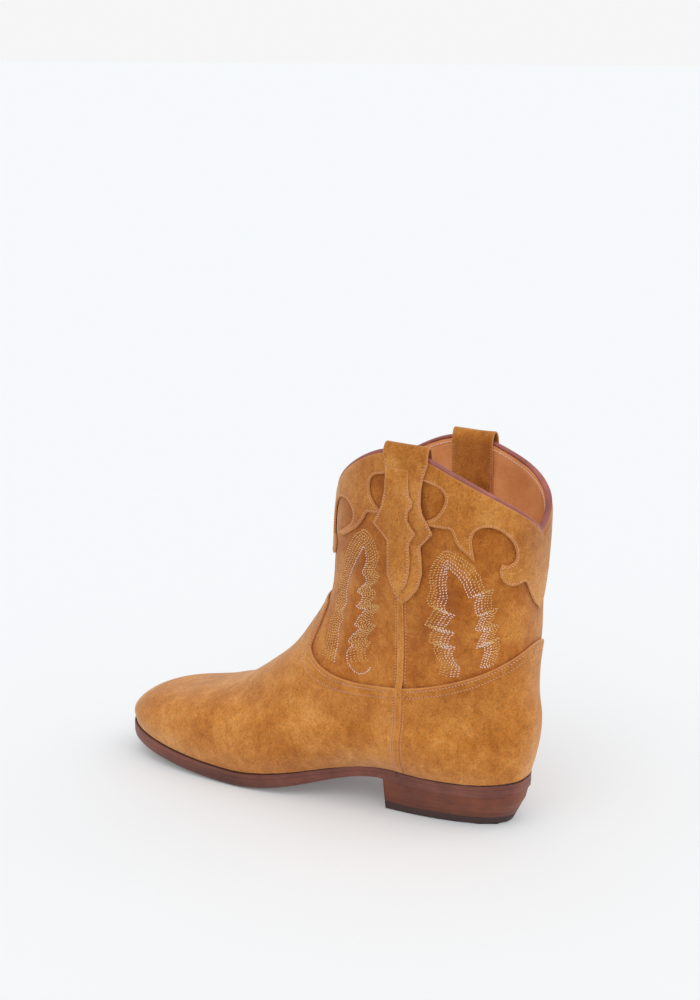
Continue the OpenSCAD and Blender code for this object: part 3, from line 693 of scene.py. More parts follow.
def sew(name, rows, made_of, pitch=PITCH, radius=THREAD_R, slant=0.0, fill_share=0.78, loose=0.0):
    """Stitches along rows of (points, normals), each a short bow of thread that dips at its ends.
    slant turns them across the row, as in a corded seam; loose is how unevenly they lie"""
    rng = np.random.default_rng(11)
    starts, ends, faces_up = [], [], []
    for points, normals in rows:
        place, face = resample(points, normals, pitch * rng.uniform(0.93, 1.07))
        a, b = place[:-1], place[1:]
        middle, reach = (a + b) / 2, (b - a) / 2 * fill_share
        up = unit(face[:-1] + face[1:])
        side = np.cross(up, unit(b - a))
        stray = rng.uniform(-loose, loose, (len(a), 4, 1)) * pitch
        lean = side * slant * pitch
        starts.append(middle - reach + lean + side * stray[:, 0] + reach * stray[:, 1])
        ends.append(middle + reach - lean + side * stray[:, 2] + reach * stray[:, 3])
        faces_up.append(up)
    starts, ends, up = (np.concatenate(x) for x in (starts, ends, faces_up))
    ahead = unit(ends - starts)
    side = unit(np.cross(up, ahead))
    rings, sides = 4, 6
    shape = []
    for f in np.linspace(0, 1, rings):
        bow = math.sin(math.pi * f)
        centre = mix(starts, ends, f) + up * (0.26 * bow - 0.16)
        r = radius * (0.55 + 0.45 * bow)
        for k in range(sides):
            turn = 2 * math.pi * k / sides
            shape.append(centre + r * (math.cos(turn) * side + math.sin(turn) * up))
    points = np.stack(shape, axis=1).reshape(-1, 3)
    one = np.arange(rings * sides).reshape(rings, sides)
    one = np.hstack([one, one[:, :1]])
    faces = quads(one) + [one[0, :-1][::-1].tolist(), one[-1, :-1].tolist()]
    all_faces = [[i + s * rings * sides for i in f] for s in range(len(starts)) for f in faces]
    return mesh_piece(name, points, all_faces, made_of)


def punch(name, rows, pitch=PITCH, radius=0.34):
    """Needle holes between the stitches, as small flat studs set in the suede, coloured dark as painted
    shade of the holes' recesses
    """
    place, face = (np.concatenate(x) for x in zip(*[resample(p, q, pitch) for p, q in rows]))
    side = unit(np.cross(face, [0.3, 0.5, 0.8]))
    other = np.cross(face, side)
    ring = [place + radius * (math.cos(t) * side + math.sin(t) * other) + 0.02 * face
            for t in np.arange(6) * math.pi / 3]
    shape = ring + [place + 0.07 * face, place - 0.3 * face]
    points = np.stack(shape, axis=1).reshape(-1, 3)
    one = [[k, (k + 1) % 6, 6] for k in range(6)] + [[(k + 1) % 6, k, 7] for k in range(6)]
    faces = [[i + s * 8 for i in f] for s in range(len(place)) for f in one]
    return mesh_piece(name, points, faces, HOLE)


def row_on(a, v, d):
    """A stitch row on the surface"""
    a, v = np.broadcast_arrays(a, v)
    return skin(a, v, d), normal_at(a, v)


# --- Shaft decoration --------------------------------------------------------------------------

FLAT_W = 88.0          # millimetres from the side seam to the middle line, on the shaft
FLAT_V = 286.0         # millimetres for the whole of v, on the shaft

# Inner row of the stitched leaf on the rear quarters, as [s, v]: its two branches leave one apex
BACK_APEX = [0.274, 0.762]
BACK_TO_HEEL = [
    [.306, .754], [.342, .744], [.37, .729], [.39, .707], [.405, .699], [.452, .707], [.434, .689],
    [.433, .669], [.448, .659], [.475, .664], [.451, .645], [.427, .624], [.484, .624], [.45, .599],
    [.423, .571], [.476, .589], [.473, .559], [.448, .531], [.433, .511], [.496, .509], [.543, .524]]
BACK_TO_SEAM = [
    [.276, .742], [.271, .724], [.28, .697], [.26, .677], [.273, .662], [.322, .662], [.298, .655],
    [.261, .632], [.237, .617], [.309, .619], [.281, .602], [.264, .581], [.268, .566], [.308, .579],
    [.281, .551], [.297, .524], [.32, .511], [.297, .471]]
FRONT_APEX = [0.262, 0.775]
FRONT_TO_SEAM = [
    [.247, .764], [.238, .744], [.276, .719], [.235, .712], [.251, .699], [.318, .679], [.263, .675],
    [.277, .662], [.314, .647], [.237, .647], [.281, .625], [.303, .604], [.252, .599], [.295, .576],
    [.311, .556], [.27, .549], [.296, .529], [.275, .504], [.233, .481], [.18, .466], [.146, .469],
    [.132, .49]]
FRONT_TO_TOE = [
    [.28, .765], [.33, .739], [.37, .717], [.4, .697], [.415, .672], [.4, .652], [.43, .63],
    [.39, .612], [.41, .592], [.385, .566], [.37, .546], [.35, .51], [.33, .49]]
ROW_STEP = 1.8
ROW_COUNT = 6
ROW_CLIMB = 0.45       # the echoes move outwards and this much upwards
APEX_TURN = 13.0       # length over which they turn from one side of the leaf to the other
TAIL = 30              # points by which the front leaf's echoes end before its inner row


def lifted(points, front):
    """[s, v] points moved up where the shaft's middle line hangs lower than its inner side"""
    points = np.array(points, float)
    share = 1 if front else DROP_BACK_SHARE
    sag = SIDE_DROP / 2 * share * points[:, 0] ** 2.6 * smooth(DROP_V, 1, points[:, 1])
    return points + np.column_stack([np.zeros(len(points)), sag / FLAT_V])


def leaf_rows(apex, one, other, front):
    """Rows of the leaf in flat millimetres: the inner one, and echoes that move outwards and up"""
    line = curve(lifted(one[::-1] + [apex] + other, front) * [FLAT_W, FLAT_V], 0.7,
                 sharp=range(len(one) + len(other) + 1))
    run = np.concatenate([[0], np.cumsum(np.linalg.norm(np.diff(line, axis=0), axis=1))])
    top = np.argmin(np.linalg.norm(line - lifted([apex], front) * [FLAT_W, FLAT_V], axis=1))
    turn = 2 * smooth(-APEX_TURN, APEX_TURN, run - run[top]) - 1
    away = unit(np.column_stack([turn, ROW_CLIMB + (1 - ROW_CLIMB) * (1 - np.abs(turn))]))
    rows = [line + ROW_STEP * k * away for k in range(ROW_COUNT)]
    return rows[:1] + [row[TAIL:] for row in rows[1:]] if front else rows


def on_side(angle, side):
    """From flat millimetres to angle and height, on the inner (-1) or outer (1) side"""
    def place(flat):
        v = flat[:, 1] / FLAT_V
        return angle(side * (1 - flat[:, 0] / FLAT_W), v), v
    return place


def clip_rows(rows, low_edge, margin):
    """(row number, line) for the stretches of the rows that lie above the panel's lower edge"""
    kept = []
    for number, row in enumerate(rows):
        good = row[:, 1] / FLAT_V > low_edge(row[:, 0] / FLAT_W) + margin
        good &= (row[:, 0] > 0.05 * FLAT_W) & (row[:, 0] < FLAT_W)
        for part in np.split(row, np.flatnonzero(np.diff(good.astype(int))) + 1):
            inside_it = part[:, 1] / FLAT_V > low_edge(part[:, 0] / FLAT_W) + margin
            if len(part) > 12 and inside_it.mean() > 0.5:
                kept.append((number, part))
    return kept


BACK_LEAF = clip_rows(leaf_rows(BACK_APEX, BACK_TO_SEAM, BACK_TO_HEEL, False), counter_edge, 0.012)
FRONT_LEAF = clip_rows(leaf_rows(FRONT_APEX, FRONT_TO_SEAM, FRONT_TO_TOE, True), vamp_edge, 0.012)


def leaf_relief(rows, flat_of):
    """Stitched rows sink into the suede, and the leather puffs up inside the leaf"""
    inner = rows[0][1]

    def relief(a, v):
        flat = flat_of(a, v)
        shape = flat.shape[:-1]
        flat = flat.reshape(-1, 2)
        near = (flat[:, 1] > 0.42 * FLAT_V) & (flat[:, 1] < 0.83 * FLAT_V) & (flat[:, 0] < 0.8 * FLAT_W)
        gap = np.full(len(flat), 99.0)
        hollow = np.full(len(flat), 99.0)
        if near.any():
            gap[near] = np.min([segment_distance(flat[near], line[::2], False) for _, line in rows], axis=0)
            hollow[near] = segment_distance(flat[near], inner[::2], False)
        sunk = -0.22 * np.exp(-(gap / 0.55) ** 2)
        within = np.zeros(len(flat), bool)
        within[near] = inside(flat[near], inner[::3])
        puff = np.where(within, 0.8 * smooth(0, 5, hollow), 0)
        return (sunk + puff).reshape(shape)
    return relief


def front_flat(a, v):
    w = -((a + 180) % 360 - 180) / seam_angle(v)
    return np.stack([(1 - np.abs(w)) * FLAT_W, v * FLAT_V], axis=-1)


def back_flat(a, v):
    w = (a - 180) / (180 - seam_angle(v))
    return np.stack([(1 - np.abs(w)) * FLAT_W, v * FLAT_V], axis=-1)


def groove(depth, width, gap):
    return -depth * np.exp(-(gap / width) ** 2)


EDGE_ROWS = (3.3, 9.6)   # stitch rows this far below the vamp's and counter's edge
SEAM_ROW = 3.4           # and this far to each side of the side seam


def edge_relief(edge_of, flat_of):
    """Grooves under the two stitch rows along the edge of the vamp or counter"""
    def relief(a, v):
        flat = flat_of(a, v)
        below = edge_of(flat[..., 0] / FLAT_W) * FLAT_V - flat[..., 1]
        return sum(groove(0.28, 0.8, below - row) for row in EDGE_ROWS)
    return relief


# --- Upper -------------------------------------------------------------------------------------


def vamp():
    panel("vamp_suede", panel_place(True, bottom, vamp_edge, 1.1), 250, 130, COVER_OUT, COVER_IN,
          SUEDE, ["vamp"], edge_relief(vamp_edge, front_flat))


def heel_counter():
    panel("heel_counter_suede", panel_place(False, bottom, counter_edge), 150, 90, COVER_OUT,
          COVER_IN, SUEDE, ["heel_counter"], edge_relief(counter_edge, back_flat))


def shafts():
    for side, front, edge, top, leaf, flat_of in (
            ("front", True, vamp_edge, top_front, FRONT_LEAF, front_flat),
            ("back", False, counter_edge, top_back, BACK_LEAF, back_flat)):
        place = panel_place(front, lambda s, edge=edge: edge(s) - UNDERLAP,
                            lambda s, top=top: top(s) - TOP_MARGIN)
        panel(f"shaft_{side}_suede", place, 210, 150, SHAFT_OUT, SHAFT_IN, SHAFT_SUEDE,
              ["shaft_" + side], leaf_relief(leaf, flat_of))


def pucker(a, v):
    """Soft dents of the lining, towards the leg"""
    x, y, z = np.moveaxis(upper(a, v), -1, 0)
    return 0.5 * np.sin(y / 7 + z / 9) * np.sin(z / 11 - x / 13) * smooth(0.5, 0.7, v)


def linings():
    """Upper linings from inside the shoe to the rim, and lower ones down to the sole"""
    for names, front, edge, top, share, gap in (
            (("lining_front", "lining_vamp"), True, vamp_edge, top_front, 0.78, 0.006),
            (("lining_back", "lining_heel"), False, counter_edge, top_back, 0.93, 0.01)):
        def low(s, edge=edge, share=share):
            return mix(BOTTOM_V, edge(s), share)

        def rim(s, top=top):
            return top(s) - TOP_MARGIN
        place = panel_place(front, low, rim)

        def faces_at(U, V, place=place, rim=rim):
            a, v = place(U, V)
            dent = np.minimum(0, pucker(a, v)) * 0.8
            below_rim = (rim(1 - np.abs(2 * U - 1)) - v) * FLAT_V
            inner = mix(LINING_RIM_IN, LINING_IN, smooth(0, SKIVE_OVER, below_rim))
            return skin(a, v, LINING_OUT), skin(a, v, inner + dent)
        grid_piece(names[0] + "_leather", faces_at, 150, 130, LINING, [names[0]])

        def under(s, edge=edge, share=share - gap):
            return mix(BOTTOM_V, edge(s), share)
        panel(names[1] + "_leather", panel_place(front, bottom, under), 130, 70, LINING_OUT, LINING_IN,
              LINING, [names[1]])


# Lower edge of the rear collar from the side seam to the middle line, as [s, v]
BACK_COLLAR = [
    [0, .94], [.12, .942], [.19, .937], [.24, .927], [.263, .907], [.237, .877], [.2, .86], [.15, .85],
    [.12, .842], [.206, .84], [.268, .84], [.301, .837], [.322, .817], [.339, .805], [.381, .792],
    [.432, .775], [.42, .797], [.413, .82], [.431, .84], [.479, .849], [.548, .845], [.621, .827],
    [.67, .807], [.69, .787], [.677, .774], [.628, .767], [.589, .771], [.576, .757], [.592, .739],
    [.633, .727], [.695, .724], [.764, .729], [.793, .724], [.835, .702], [.896, .677], [.965, .662],
    [1, .652]]
BACK_CORNERS = (8, 15, 26, 31, 36)
FRONT_COLLAR = [
    [0, .94], [.1, .945], [.141, .942], [.203, .935], [.23, .92], [.228, .897], [.2, .875], [.162, .862],
    [.12, .85], [.17, .847], [.236, .845], [.262, .83], [.31, .81], [.38, .794], [.45, .784],
    [.521, .785], [.44, .797], [.37, .814], [.355, .832], [.378, .848], [.44, .86], [.53, .857],
    [.6, .84], [.645, .815], [.65, .79], [.625, .777], [.585, .775], [.565, .76], [.585, .743],
    [.63, .735], [.7, .737], [.765, .742], [.8, .735], [.85, .715], [.92, .7], [1, .69]]
FRONT_CORNERS = (8, 15, 26, 31, 35)


def collar_half(points, corners, front):
    return curve(lifted(points, front) * [FLAT_W, FLAT_V], 0.8, sharp=corners)


def collar(name, front, points, corners, node):
    """Scrolled collar: the flat x runs from the inner seam to the outer one"""
    top = top_front if front else top_back
    low = collar_half(points, corners, front)
    start = 0.006 * FLAT_W
    low[:, 0] = np.maximum(low[:, 0], start)
    s = np.linspace(start / FLAT_W, 1, 110)
    rim = np.stack([s * FLAT_W, (top(s) - TOP_MARGIN) * FLAT_V], axis=1)
    other_low, other_rim = ([2 * FLAT_W, 0] + line * [-1, 1] for line in (low, rim))
    outline = drop_repeats(np.concatenate([low[:-1], other_low[::-1], other_rim, rim[::-1][1:]]))

    def place(flat):
        w = flat[:, 0] / FLAT_W - 1
        v = flat[:, 1] / FLAT_V
        return (front_angle if front else back_angle)(w, v), v

    def out_at(flat):
        s = 1 - np.abs(flat[:, 0] / FLAT_W - 1)
        below_rim = top(s) * FLAT_V - flat[:, 1]
        return mix(COVER_RIM_OUT, COVER_OUT, smooth(0, SKIVE_OVER, below_rim))
    cut_piece(name, outline, place, out_at, COVER_IN, SUEDE, [node])


def drop_repeats(line, least=0.05):
    """The closed outline without points that fall on each other"""
    gap = np.linalg.norm(line - np.roll(line, 1, axis=0), axis=1)
    return line[gap > least]


BINDING_POWER = 2.2


def top_binding():
    """Folded leather along the top line"""
    half = (1 - np.cos(np.linspace(0, math.pi, 230))) / 2
    w = np.sort(np.unique(np.round(np.concatenate([half - 1, 1 - half]), 5)))
    sides = 22
    rings = []
    for front, run in ((True, w[:-1]), (False, w[::-1][:-1])):
        s = 1 - np.abs(run)
        v = top_front(s) if front else top_back(s)
        a = front_angle(run, v) if front else back_angle(run, v)
        middle = skin(a, v, BINDING_MID)
        side = unit(normal_at(a, v) * [1, 1, 0.25])
        turn = -2 * math.pi * np.arange(sides) / sides
        c, r = np.cos(turn), np.sin(turn)
        size = (np.abs(c) ** BINDING_POWER + np.abs(r) ** BINDING_POWER) ** (-1 / BINDING_POWER)
        ring = middle[:, None] + (BINDING_R * c * size)[None, :, None] * side[:, None]
        rise = np.where(r < 0, BINDING_LOW_H, BINDING_H) * r * size
        rings.append(ring + rise[None, :, None] * np.array([0, 0, 1.0]))
    rings = np.concatenate(rings)
    index = np.arange(rings.shape[0] * sides).reshape(-1, sides)
    index = np.hstack([index, index[:, :1]])
    mesh_piece("top_binding_leather", rings.reshape(-1, 3), quads(index, True), BINDING,
               ["top_binding"])


def side_seams():
    """Raised strip over each side seam: on the vamp and counter below, on the shaft above"""
    top_v = 0.78
    half_w = 2.2
    for name, sign in (("medial", 1), ("lateral", -1)):
        def faces_at(U, V, sign=sign):
            v = mix(0.02, top_v, V)
            y = SEAM_Y_LOW - SEAM_LEAN * v - (2 * U - 1) * half_w
            a = sign * angle_at(y, v)
            step = clamp01((v - VAMP_SIDE_V - 0.005) / 0.02)
            base = mix(COVER_OUT + 0.15, SHAFT_OUT + 0.15, step)
            crown = 0.6 * (1 - 0.75 * np.abs(2 * U - 1) ** 2.5)
            return skin(a, v, base + 0.2 + crown), skin(a, v, base)
        grid_piece("side_seam_strip_" + name, faces_at, 10, 150, SUEDE, ["side_seam_" + name])


# --- Pull straps -------------------------------------------------------------------------------

# Edges of the outer leg as [v, y], from its tip to the top
STRAP_REAR = [
    [.677, 64.5], [.683, 61.5], [.692, 58.4], [.712, 53.4], [.742, 50.9], [.772, 51.3], [.794, 51.8],
    [.807, 48.2], [.8255, 43.5], [.847, 46.5], [.865, 49.6], [.887, 51], [.922, 50.8], [.95, 49.7],
    [.972, 48], [1, 46]]
STRAP_FRONT = [
    [.677, 65.2], [.687, 68], [.7, 70.6], [.73, 73.2], [.762, 73.7], [.799, 73.6], [.815, 78],
    [.8305, 83], [.85, 79.6], [.872, 76.6], [.91, 74.6], [.957, 74.5], [.98, 75.3], [1, 76.3]]
OVERLAY_REAR = [
    [.7, 65.6], [.708, 62.6], [.72, 60.4], [.739, 58.7], [.769, 57.9], [.792, 58.6], [.803, 57.4],
    [.8225, 53.5], [.832, 56.1], [.848, 58.6], [.867, 58.4], [.88, 55.8], [.892, 55.2],
    [.905, 57.7], [.93, 58.5], [.965, 59.2]]
OVERLAY_FRONT = [
    [.7, 66.2], [.712, 70.6], [.732, 73], [.762, 73.2], [.799, 73.1], [.815, 77.4],
    [.8305, 82.4], [.85, 79], [.872, 76], [.91, 74], [.957, 73.7], [1, 73.7]]
STRAP_LEG_TOP = 0.99
STRAP_RISE = 6.0
INNER_EDGES = [47.2, 76.3]
SKIVED = [0.922, 0.958]  # the overlay thins out to nothing between these heights


def edge_y(points, v):
    table = np.array(points)
    return np.interp(v, table[:, 0], table[:, 1])


SINK, SINK_FROM, SINK_TO = 1.3, 0.86, 0.79


def strap_sink(v):
    """How far the outer leg comes down onto the shaft, below the collar that holds it off"""
    return -SINK * (1 - smooth(SINK_TO, SINK_FROM, v))


def strap_faces(sign):
    """Both faces of a strap over the unit square: up the outer leg, round the fold, down the inner leg"""
    low, turn_from, turn_to = STRAP_REAR[0][0], 0.5, 0.62
    inner_v = 0.81
    mid_d = (STRAP_IN + INNER_LEG_OUT) / 2
    r_in, thick = STRAP_IN - mid_d, STRAP_OUT - STRAP_IN

    def faces_at(U, V):
        up = clamp01(V / turn_from)
        down = clamp01((V - turn_to) / (1 - turn_to))
        v = np.where(V < turn_to, mix(low, STRAP_LEG_TOP, up), mix(STRAP_LEG_TOP, inner_v, down))
        rear = np.where(V <= turn_from, edge_y(STRAP_REAR, v), INNER_EDGES[0])
        front = np.where(V <= turn_from, edge_y(STRAP_FRONT, v), INNER_EDGES[1])
        a = sign * angle_at(mix(rear, front, U), v)
        p, n = upper(a, v), normal_at(a, v)
        sink = np.where(V <= turn_from, strap_sink(v), 0)
        base = p + (rumple(p) + sink)[..., None] * n
        turn = math.pi * clamp01((V - turn_from) / (turn_to - turn_from))
        c, s = np.cos(turn)[..., None], np.sin(turn)[..., None]
        top = STRAP_RISE + upper(a, 1)[..., 2:3] - p[..., 2:3]
        up_z = np.array([0, 0, 1.0])
        outer = base + n * (mid_d + (r_in + thick) * c) + up_z * top * s
        inner = base + n * (mid_d + r_in * c) + up_z * (top - thick) * s
        return outer, inner
    return faces_at


def overlay_at(v):
    """Distances of the overlay's two faces at height v"""
    thin = smooth(SKIVED[0], SKIVED[1], v)
    sink = strap_sink(v)
    return (mix(OVERLAY_OUT, STRAP_OUT + 0.22, thin) + sink,
            mix(OVERLAY_IN, STRAP_OUT + 0.05, thin) + sink)


def pull_straps():
    for name, sign in (("medial", 1), ("lateral", -1)):
        grid_piece("pull_strap_suede_" + name, strap_faces(sign), 26, 190, SUEDE,
                   ["pull_strap_" + name])

        def overlay(U, V, sign=sign):
            v = mix(OVERLAY_REAR[0][0], OVERLAY_REAR[-1][0], V)
            y = mix(edge_y(OVERLAY_REAR, v), edge_y(OVERLAY_FRONT, v), U)
            a = sign * angle_at(y, v)
            out_d, in_d = overlay_at(v)
            return skin(a, v, out_d), skin(a, v, in_d)
        grid_piece("strap_overlay_suede_" + name, overlay, 20, 130, SUEDE,
                   ["strap_overlay_" + name])


# --- Seams -------------------------------------------------------------------------------------


def upper_seams():
    """Two rows along the vamp's and the counter's edge, two beside each side seam"""
    first, second = [], []
    s = np.linspace(0.035, 1, 260)
    for row in EDGE_ROWS:
        for edge, angle in ((vamp_edge, front_angle), (counter_edge, back_angle)):
            v = edge(s) - row / FLAT_V
            w = np.concatenate([s - 1, (1 - s)[::-1][1:]])
            v = np.concatenate([v, v[::-1][1:]])
            line = row_on(angle(w, v), v, COVER_OUT - 0.1)
            (first if row == EDGE_ROWS[0] else second).append(line)
    for sign in (1, -1):
        for off, rows in ((SEAM_ROW, first), (-SEAM_ROW, second)):
            v = np.linspace(VAMP_SIDE_V + 0.012, 0.70, 120)
            rows.append(row_on(sign * angle_at(SEAM_Y_LOW - SEAM_LEAN * v + off, v), v, SHAFT_OUT - 0.02))
            v = np.linspace(0.03, VAMP_SIDE_V - 0.02, 160)
            rows.append(row_on(sign * angle_at(SEAM_Y_LOW - SEAM_LEAN * v + off, v), v, COVER_OUT - 0.02))
    sew("stitches_edge_rose", first, THREAD_ROSE, radius=0.31, fill_share=0.6, slant=0.14, loose=0.07)
    sew("stitches_edge_gold", second, THREAD_ROSE, radius=0.28, fill_share=0.56, slant=0.14, loose=0.07)
    punch("needle_holes_edge", first + second, radius=0.28)


def leaf_seams():
    pale, gold = [], []
    for rows, angle, pale_rows in ((FRONT_LEAF, front_angle, 1), (BACK_LEAF, back_angle, 3)):
        for side in (-1, 1):
            for k, row in rows:
                a, v = on_side(angle, side)(row)
                (pale if k < pale_rows else gold).append(row_on(a, v, SHAFT_OUT - 0.1))
    sew("stitches_leaf_inner", pale, THREAD_PALE, pitch=1.75, radius=0.37, slant=0.24, fill_share=0.56,
        loose=0.2)
    sew("stitches_leaf_echo", gold, THREAD_GOLD, pitch=1.75, radius=0.35, slant=0.3, fill_share=0.54,
        loose=0.24)


def collar_seams():
    rows = []
    inset = 1.3
    for points, corners, front in ((FRONT_COLLAR, FRONT_CORNERS, True), (BACK_COLLAR, BACK_CORNERS, False)):
        line = collar_half(points, corners, front)
        ahead = unit(np.gradient(line, axis=0))
        up = line + inset * np.stack([-ahead[:, 1], ahead[:, 0]], axis=1)
        clear = segment_distance(up, line, False) > inset * 0.93
        clear &= (up[:, 0] > 0.13 * FLAT_W) & (up[:, 0] < FLAT_W)
        for side in (-1, 1):
            for part in np.split(np.arange(len(up)), np.flatnonzero(np.diff(clear.astype(int))) + 1):
                if clear[part].all() and len(part) > 8:
                    a, v = on_side(front_angle if front else back_angle, side)(up[part])
                    rows.append(row_on(a, v, COVER_OUT - 0.02))
    sew("stitches_collar", rows, THREAD_ROSE, pitch=1.8, radius=0.26, slant=0.15)


def strap_seams():
    rows = []
    inset = 1.2
    for sign in (1, -1):
        v = np.linspace(0.684, 0.985, 200)
        for edge, way in ((STRAP_REAR, 1), (STRAP_FRONT, -1)):
            a = sign * angle_at(edge_y(edge, v) + way * inset, v)
            rows.append(row_on(a, v, STRAP_OUT + strap_sink(v)))
        v = np.linspace(0.708, SKIVED[0], 160)
        for edge, way in ((OVERLAY_REAR, 1), (OVERLAY_FRONT, -1)):
            a = sign * angle_at(edge_y(edge, v) + way * inset, v)
            rows.append(row_on(a, v, OVERLAY_OUT + strap_sink(v)))
        v = np.linspace(0.82, 0.985, 90)
        for y in (INNER_EDGES[0] + 1.4, INNER_EDGES[1] - 1.4):
            a = sign * angle_at(y, v)
            points, normals = row_on(a, v, INNER_LEG_IN)
            rows.append((points, -normals))
    sew("stitches_straps", rows, THREAD_ROSE, pitch=1.9, radius=0.25, slant=0.2)
    punch("needle_holes_straps", rows, pitch=1.9, radius=0.24)


def lining_seam():
    """Row through the lining, just under the binding"""
    rows = []
    w = np.linspace(-0.995, 0.995, 500)
    s = 1 - np.abs(w)
    for top, angle in ((top_front, front_angle), (top_back, back_angle)):
        v = top(s) - 0.0135
        points, normals = row_on(angle(w, v), v, LINING_IN)
        rows.append((points, -normals))
    sew("stitches_lining", rows, THREAD_PALE, pitch=2.2, radius=0.36)


# --- Sole and heel -----------------------------------------------------------------------------

WELT_T, SOLE_T, HEEL_EDGE, SOLE_EDGE = 3.2, 6.6, 2.0, 3.2
JOINT_GAP = 0.15
WELT_IN = 5.0
RAND_ANGLE = 122
TOP_LIFT_T = 5.6
HEEL_BREAST = 88.0


def edge_at(y):
    return mix(HEEL_EDGE, SOLE_EDGE, smooth(110, 190, y))


def sole_t_at(y):
    return mix(4.4, SOLE_T, smooth(100, 170, y))


def sole_low(y):
    return feather_z(y) - WELT_T - JOINT_GAP - sole_t_at(y)


def outline_at(a, d):
    """Feather outline at angle a, moved outwards by d in plan"""
    p, t = upper(a, 0.0), upper(a + 0.5, 0.0) - upper(a - 0.5, 0.0)
    n = unit(np.stack([t[..., 1], -t[..., 0]], axis=-1))
    return p[..., :2] + np.asarray(d)[..., None] * n


def edge_outline(a, d):
    return outline_at(a, edge_at(upper(a, 0.0)[..., 1]) + d)


def strip_piece(name, angles, section_points, made_of, node):
    """Strip under the upper's edge. section_points: [out of the edge or of the feather line, drop, which]"""
    rings = []
    for out, drop, at_edge in section_points:
        p = edge_outline(angles, out) if at_edge else outline_at(angles, np.full_like(angles, out))
        rings.append(np.column_stack([p, feather_z(p[:, 1]) - drop]))
    rings = np.stack(rings, axis=1)
    count, k = rings.shape[:2]
    index = np.arange(count * k).reshape(count, k)
    looped = np.hstack([index, index[:, :1]])
    faces = quads(looped) + [index[0].tolist()[::-1], index[-1].tolist()]
    # Points of the welt's upper shelf get 1, to be painted dark: partly dye, partly painted shade of the
    # crevice under the upper
    dye_and_shade = np.tile([float(drop < WELT_DYE_AND_SHADE) for _, drop, _ in section_points], count)
    mesh_piece(name, rings.reshape(-1, 3), faces, made_of, [node], dye_and_shade)


WELT_DYE_AND_SHADE = 0.2       # the welt's upper side is painted dark down to this depth: partly dye, partly painted shade of the crevice under the upper
WELT_LOW = 3.28
WELT_SECTION = [
    (-WELT_IN, WELT_LOW, False), (-WELT_IN, JOINT_GAP, False), (-1.2, JOINT_GAP, False),
    (0.4, JOINT_GAP, False), (-0.9, JOINT_GAP, True), (-0.5, JOINT_GAP + 0.06, True),
    (-0.15, JOINT_GAP + 0.35, True), (0, JOINT_GAP + 0.9, True), (0.04, 1.6, True), (0.05, 2.4, True),
    (0.05, 3.0, True), (0.02, 3.18, True), (-0.06, WELT_LOW, True), (-2.2, WELT_LOW, True)]


def welt():
    strip_piece("welt_leather", np.linspace(-RAND_ANGLE, RAND_ANGLE, 460), WELT_SECTION, EDGE,
                "welt")
    strip_piece("heel_rand_leather", np.linspace(RAND_ANGLE + 0.02, 359.98 - RAND_ANGLE, 220), WELT_SECTION,
                EDGE, "heel_rand")


def welt_crease():
    """Dark cord that fills the angle between the upper and the welt, uneven in thickness: painted shade
    standing in for the shadow in that crevice
    """
    a = np.linspace(0, 360, 900, endpoint=False)
    y = upper(a, 0.0)[:, 1]
    centre = outline_at(a, np.minimum(COVER_OUT + 0.3, edge_at(y) - 0.25))
    wave = np.sin(a * 0.9) * np.sin(a * 0.37 + 1) + 0.6 * np.sin(a * 1.7 + 2)
    radius = 0.46 + 0.07 * wave
    turn = 2 * math.pi * np.arange(8) / 8
    ahead = np.roll(centre, -1, axis=0) - np.roll(centre, 1, axis=0)
    aside = unit(np.stack([ahead[:, 1], -ahead[:, 0]], axis=-1))
    plan = centre[:, None] + (radius[:, None] * np.cos(turn))[..., None] * aside[:, None]
    z = feather_z(y)[:, None] + 0.2 + 1.25 * radius[:, None] * np.sin(turn)
    index = np.arange(z.size).reshape(z.shape)
    mesh_piece("welt_crease_shade", np.concatenate([plan, z[..., None]], axis=-1).reshape(-1, 3),
               quads(np.hstack([index, index[:, :1]]), True), CREASE_SHADE)


def inset(outline, d):
    """Closed counter-clockwise 2-D outline moved inwards by d"""
    ahead = unit(np.roll(outline, -1, axis=0) - np.roll(outline, 1, axis=0))
    return outline + d * np.stack([-ahead[:, 1], ahead[:, 0]], axis=1)


def slab_piece(name, outlines, high, low, profile, made_of, nodes, spacing=4.0):
    """Plate with a shaped edge. profile: [inset, height share 0 top .. 1 bottom]; outlines(share) in plan"""
    rings = []
    for step_in, share in profile:
        flat = inset(outlines(share), step_in)
        z = mix(high(flat), low(flat), share)
        rings.append(np.column_stack([flat, z]))
    count = len(rings[0])
    flat, faces, _, order = fill(rings[0][:, :2], spacing)
    within = np.flatnonzero(order < 0)
    start = count * len(rings)
    top_index = np.where(order >= 0, order, 0)
    low_index = np.where(order >= 0, order + count * (len(rings) - 1), 0)
    top_index[within] = start + np.arange(len(within))
    low_index[within] = start + len(within) + np.arange(len(within))
    caps = flat[within]
    points = rings + [np.column_stack([caps, high(caps)]), np.column_stack([caps, low(caps)])]
    index = np.arange(start).reshape(len(rings), count)
    walls = quads(np.hstack([index, index[:, :1]]))
    top = [[int(top_index[i]) for i in f] for f in faces]
    under = [[int(low_index[i]) for i in f[::-1]] for f in faces]
    # The side walls run from the top ring down, so they need the opposite turn to the top
    if ring_turn(flat, faces) > 0:
        walls = [f[::-1] for f in walls]
    mesh_piece(name, np.concatenate(points), walls + top + under, made_of, nodes)


def ring_turn(flat, faces):
    """Sign of the first triangle's area"""
    a, b, c = (flat[i] for i in faces[0][:3])
    return (b[0] - a[0]) * (c[1] - a[1]) - (b[1] - a[1]) * (c[0] - a[0])


def sole_outline(count, maker):
    """Closed counter-clockwise outline from a function of the angle"""
    a = np.linspace(0, 360, count, endpoint=False)
    line = maker(a)
    area = np.sum(line[:, 0] * np.roll(line[:, 1], -1) - line[:, 1] * np.roll(line[:, 0], -1))
    return line if area > 0 else line[::-1]


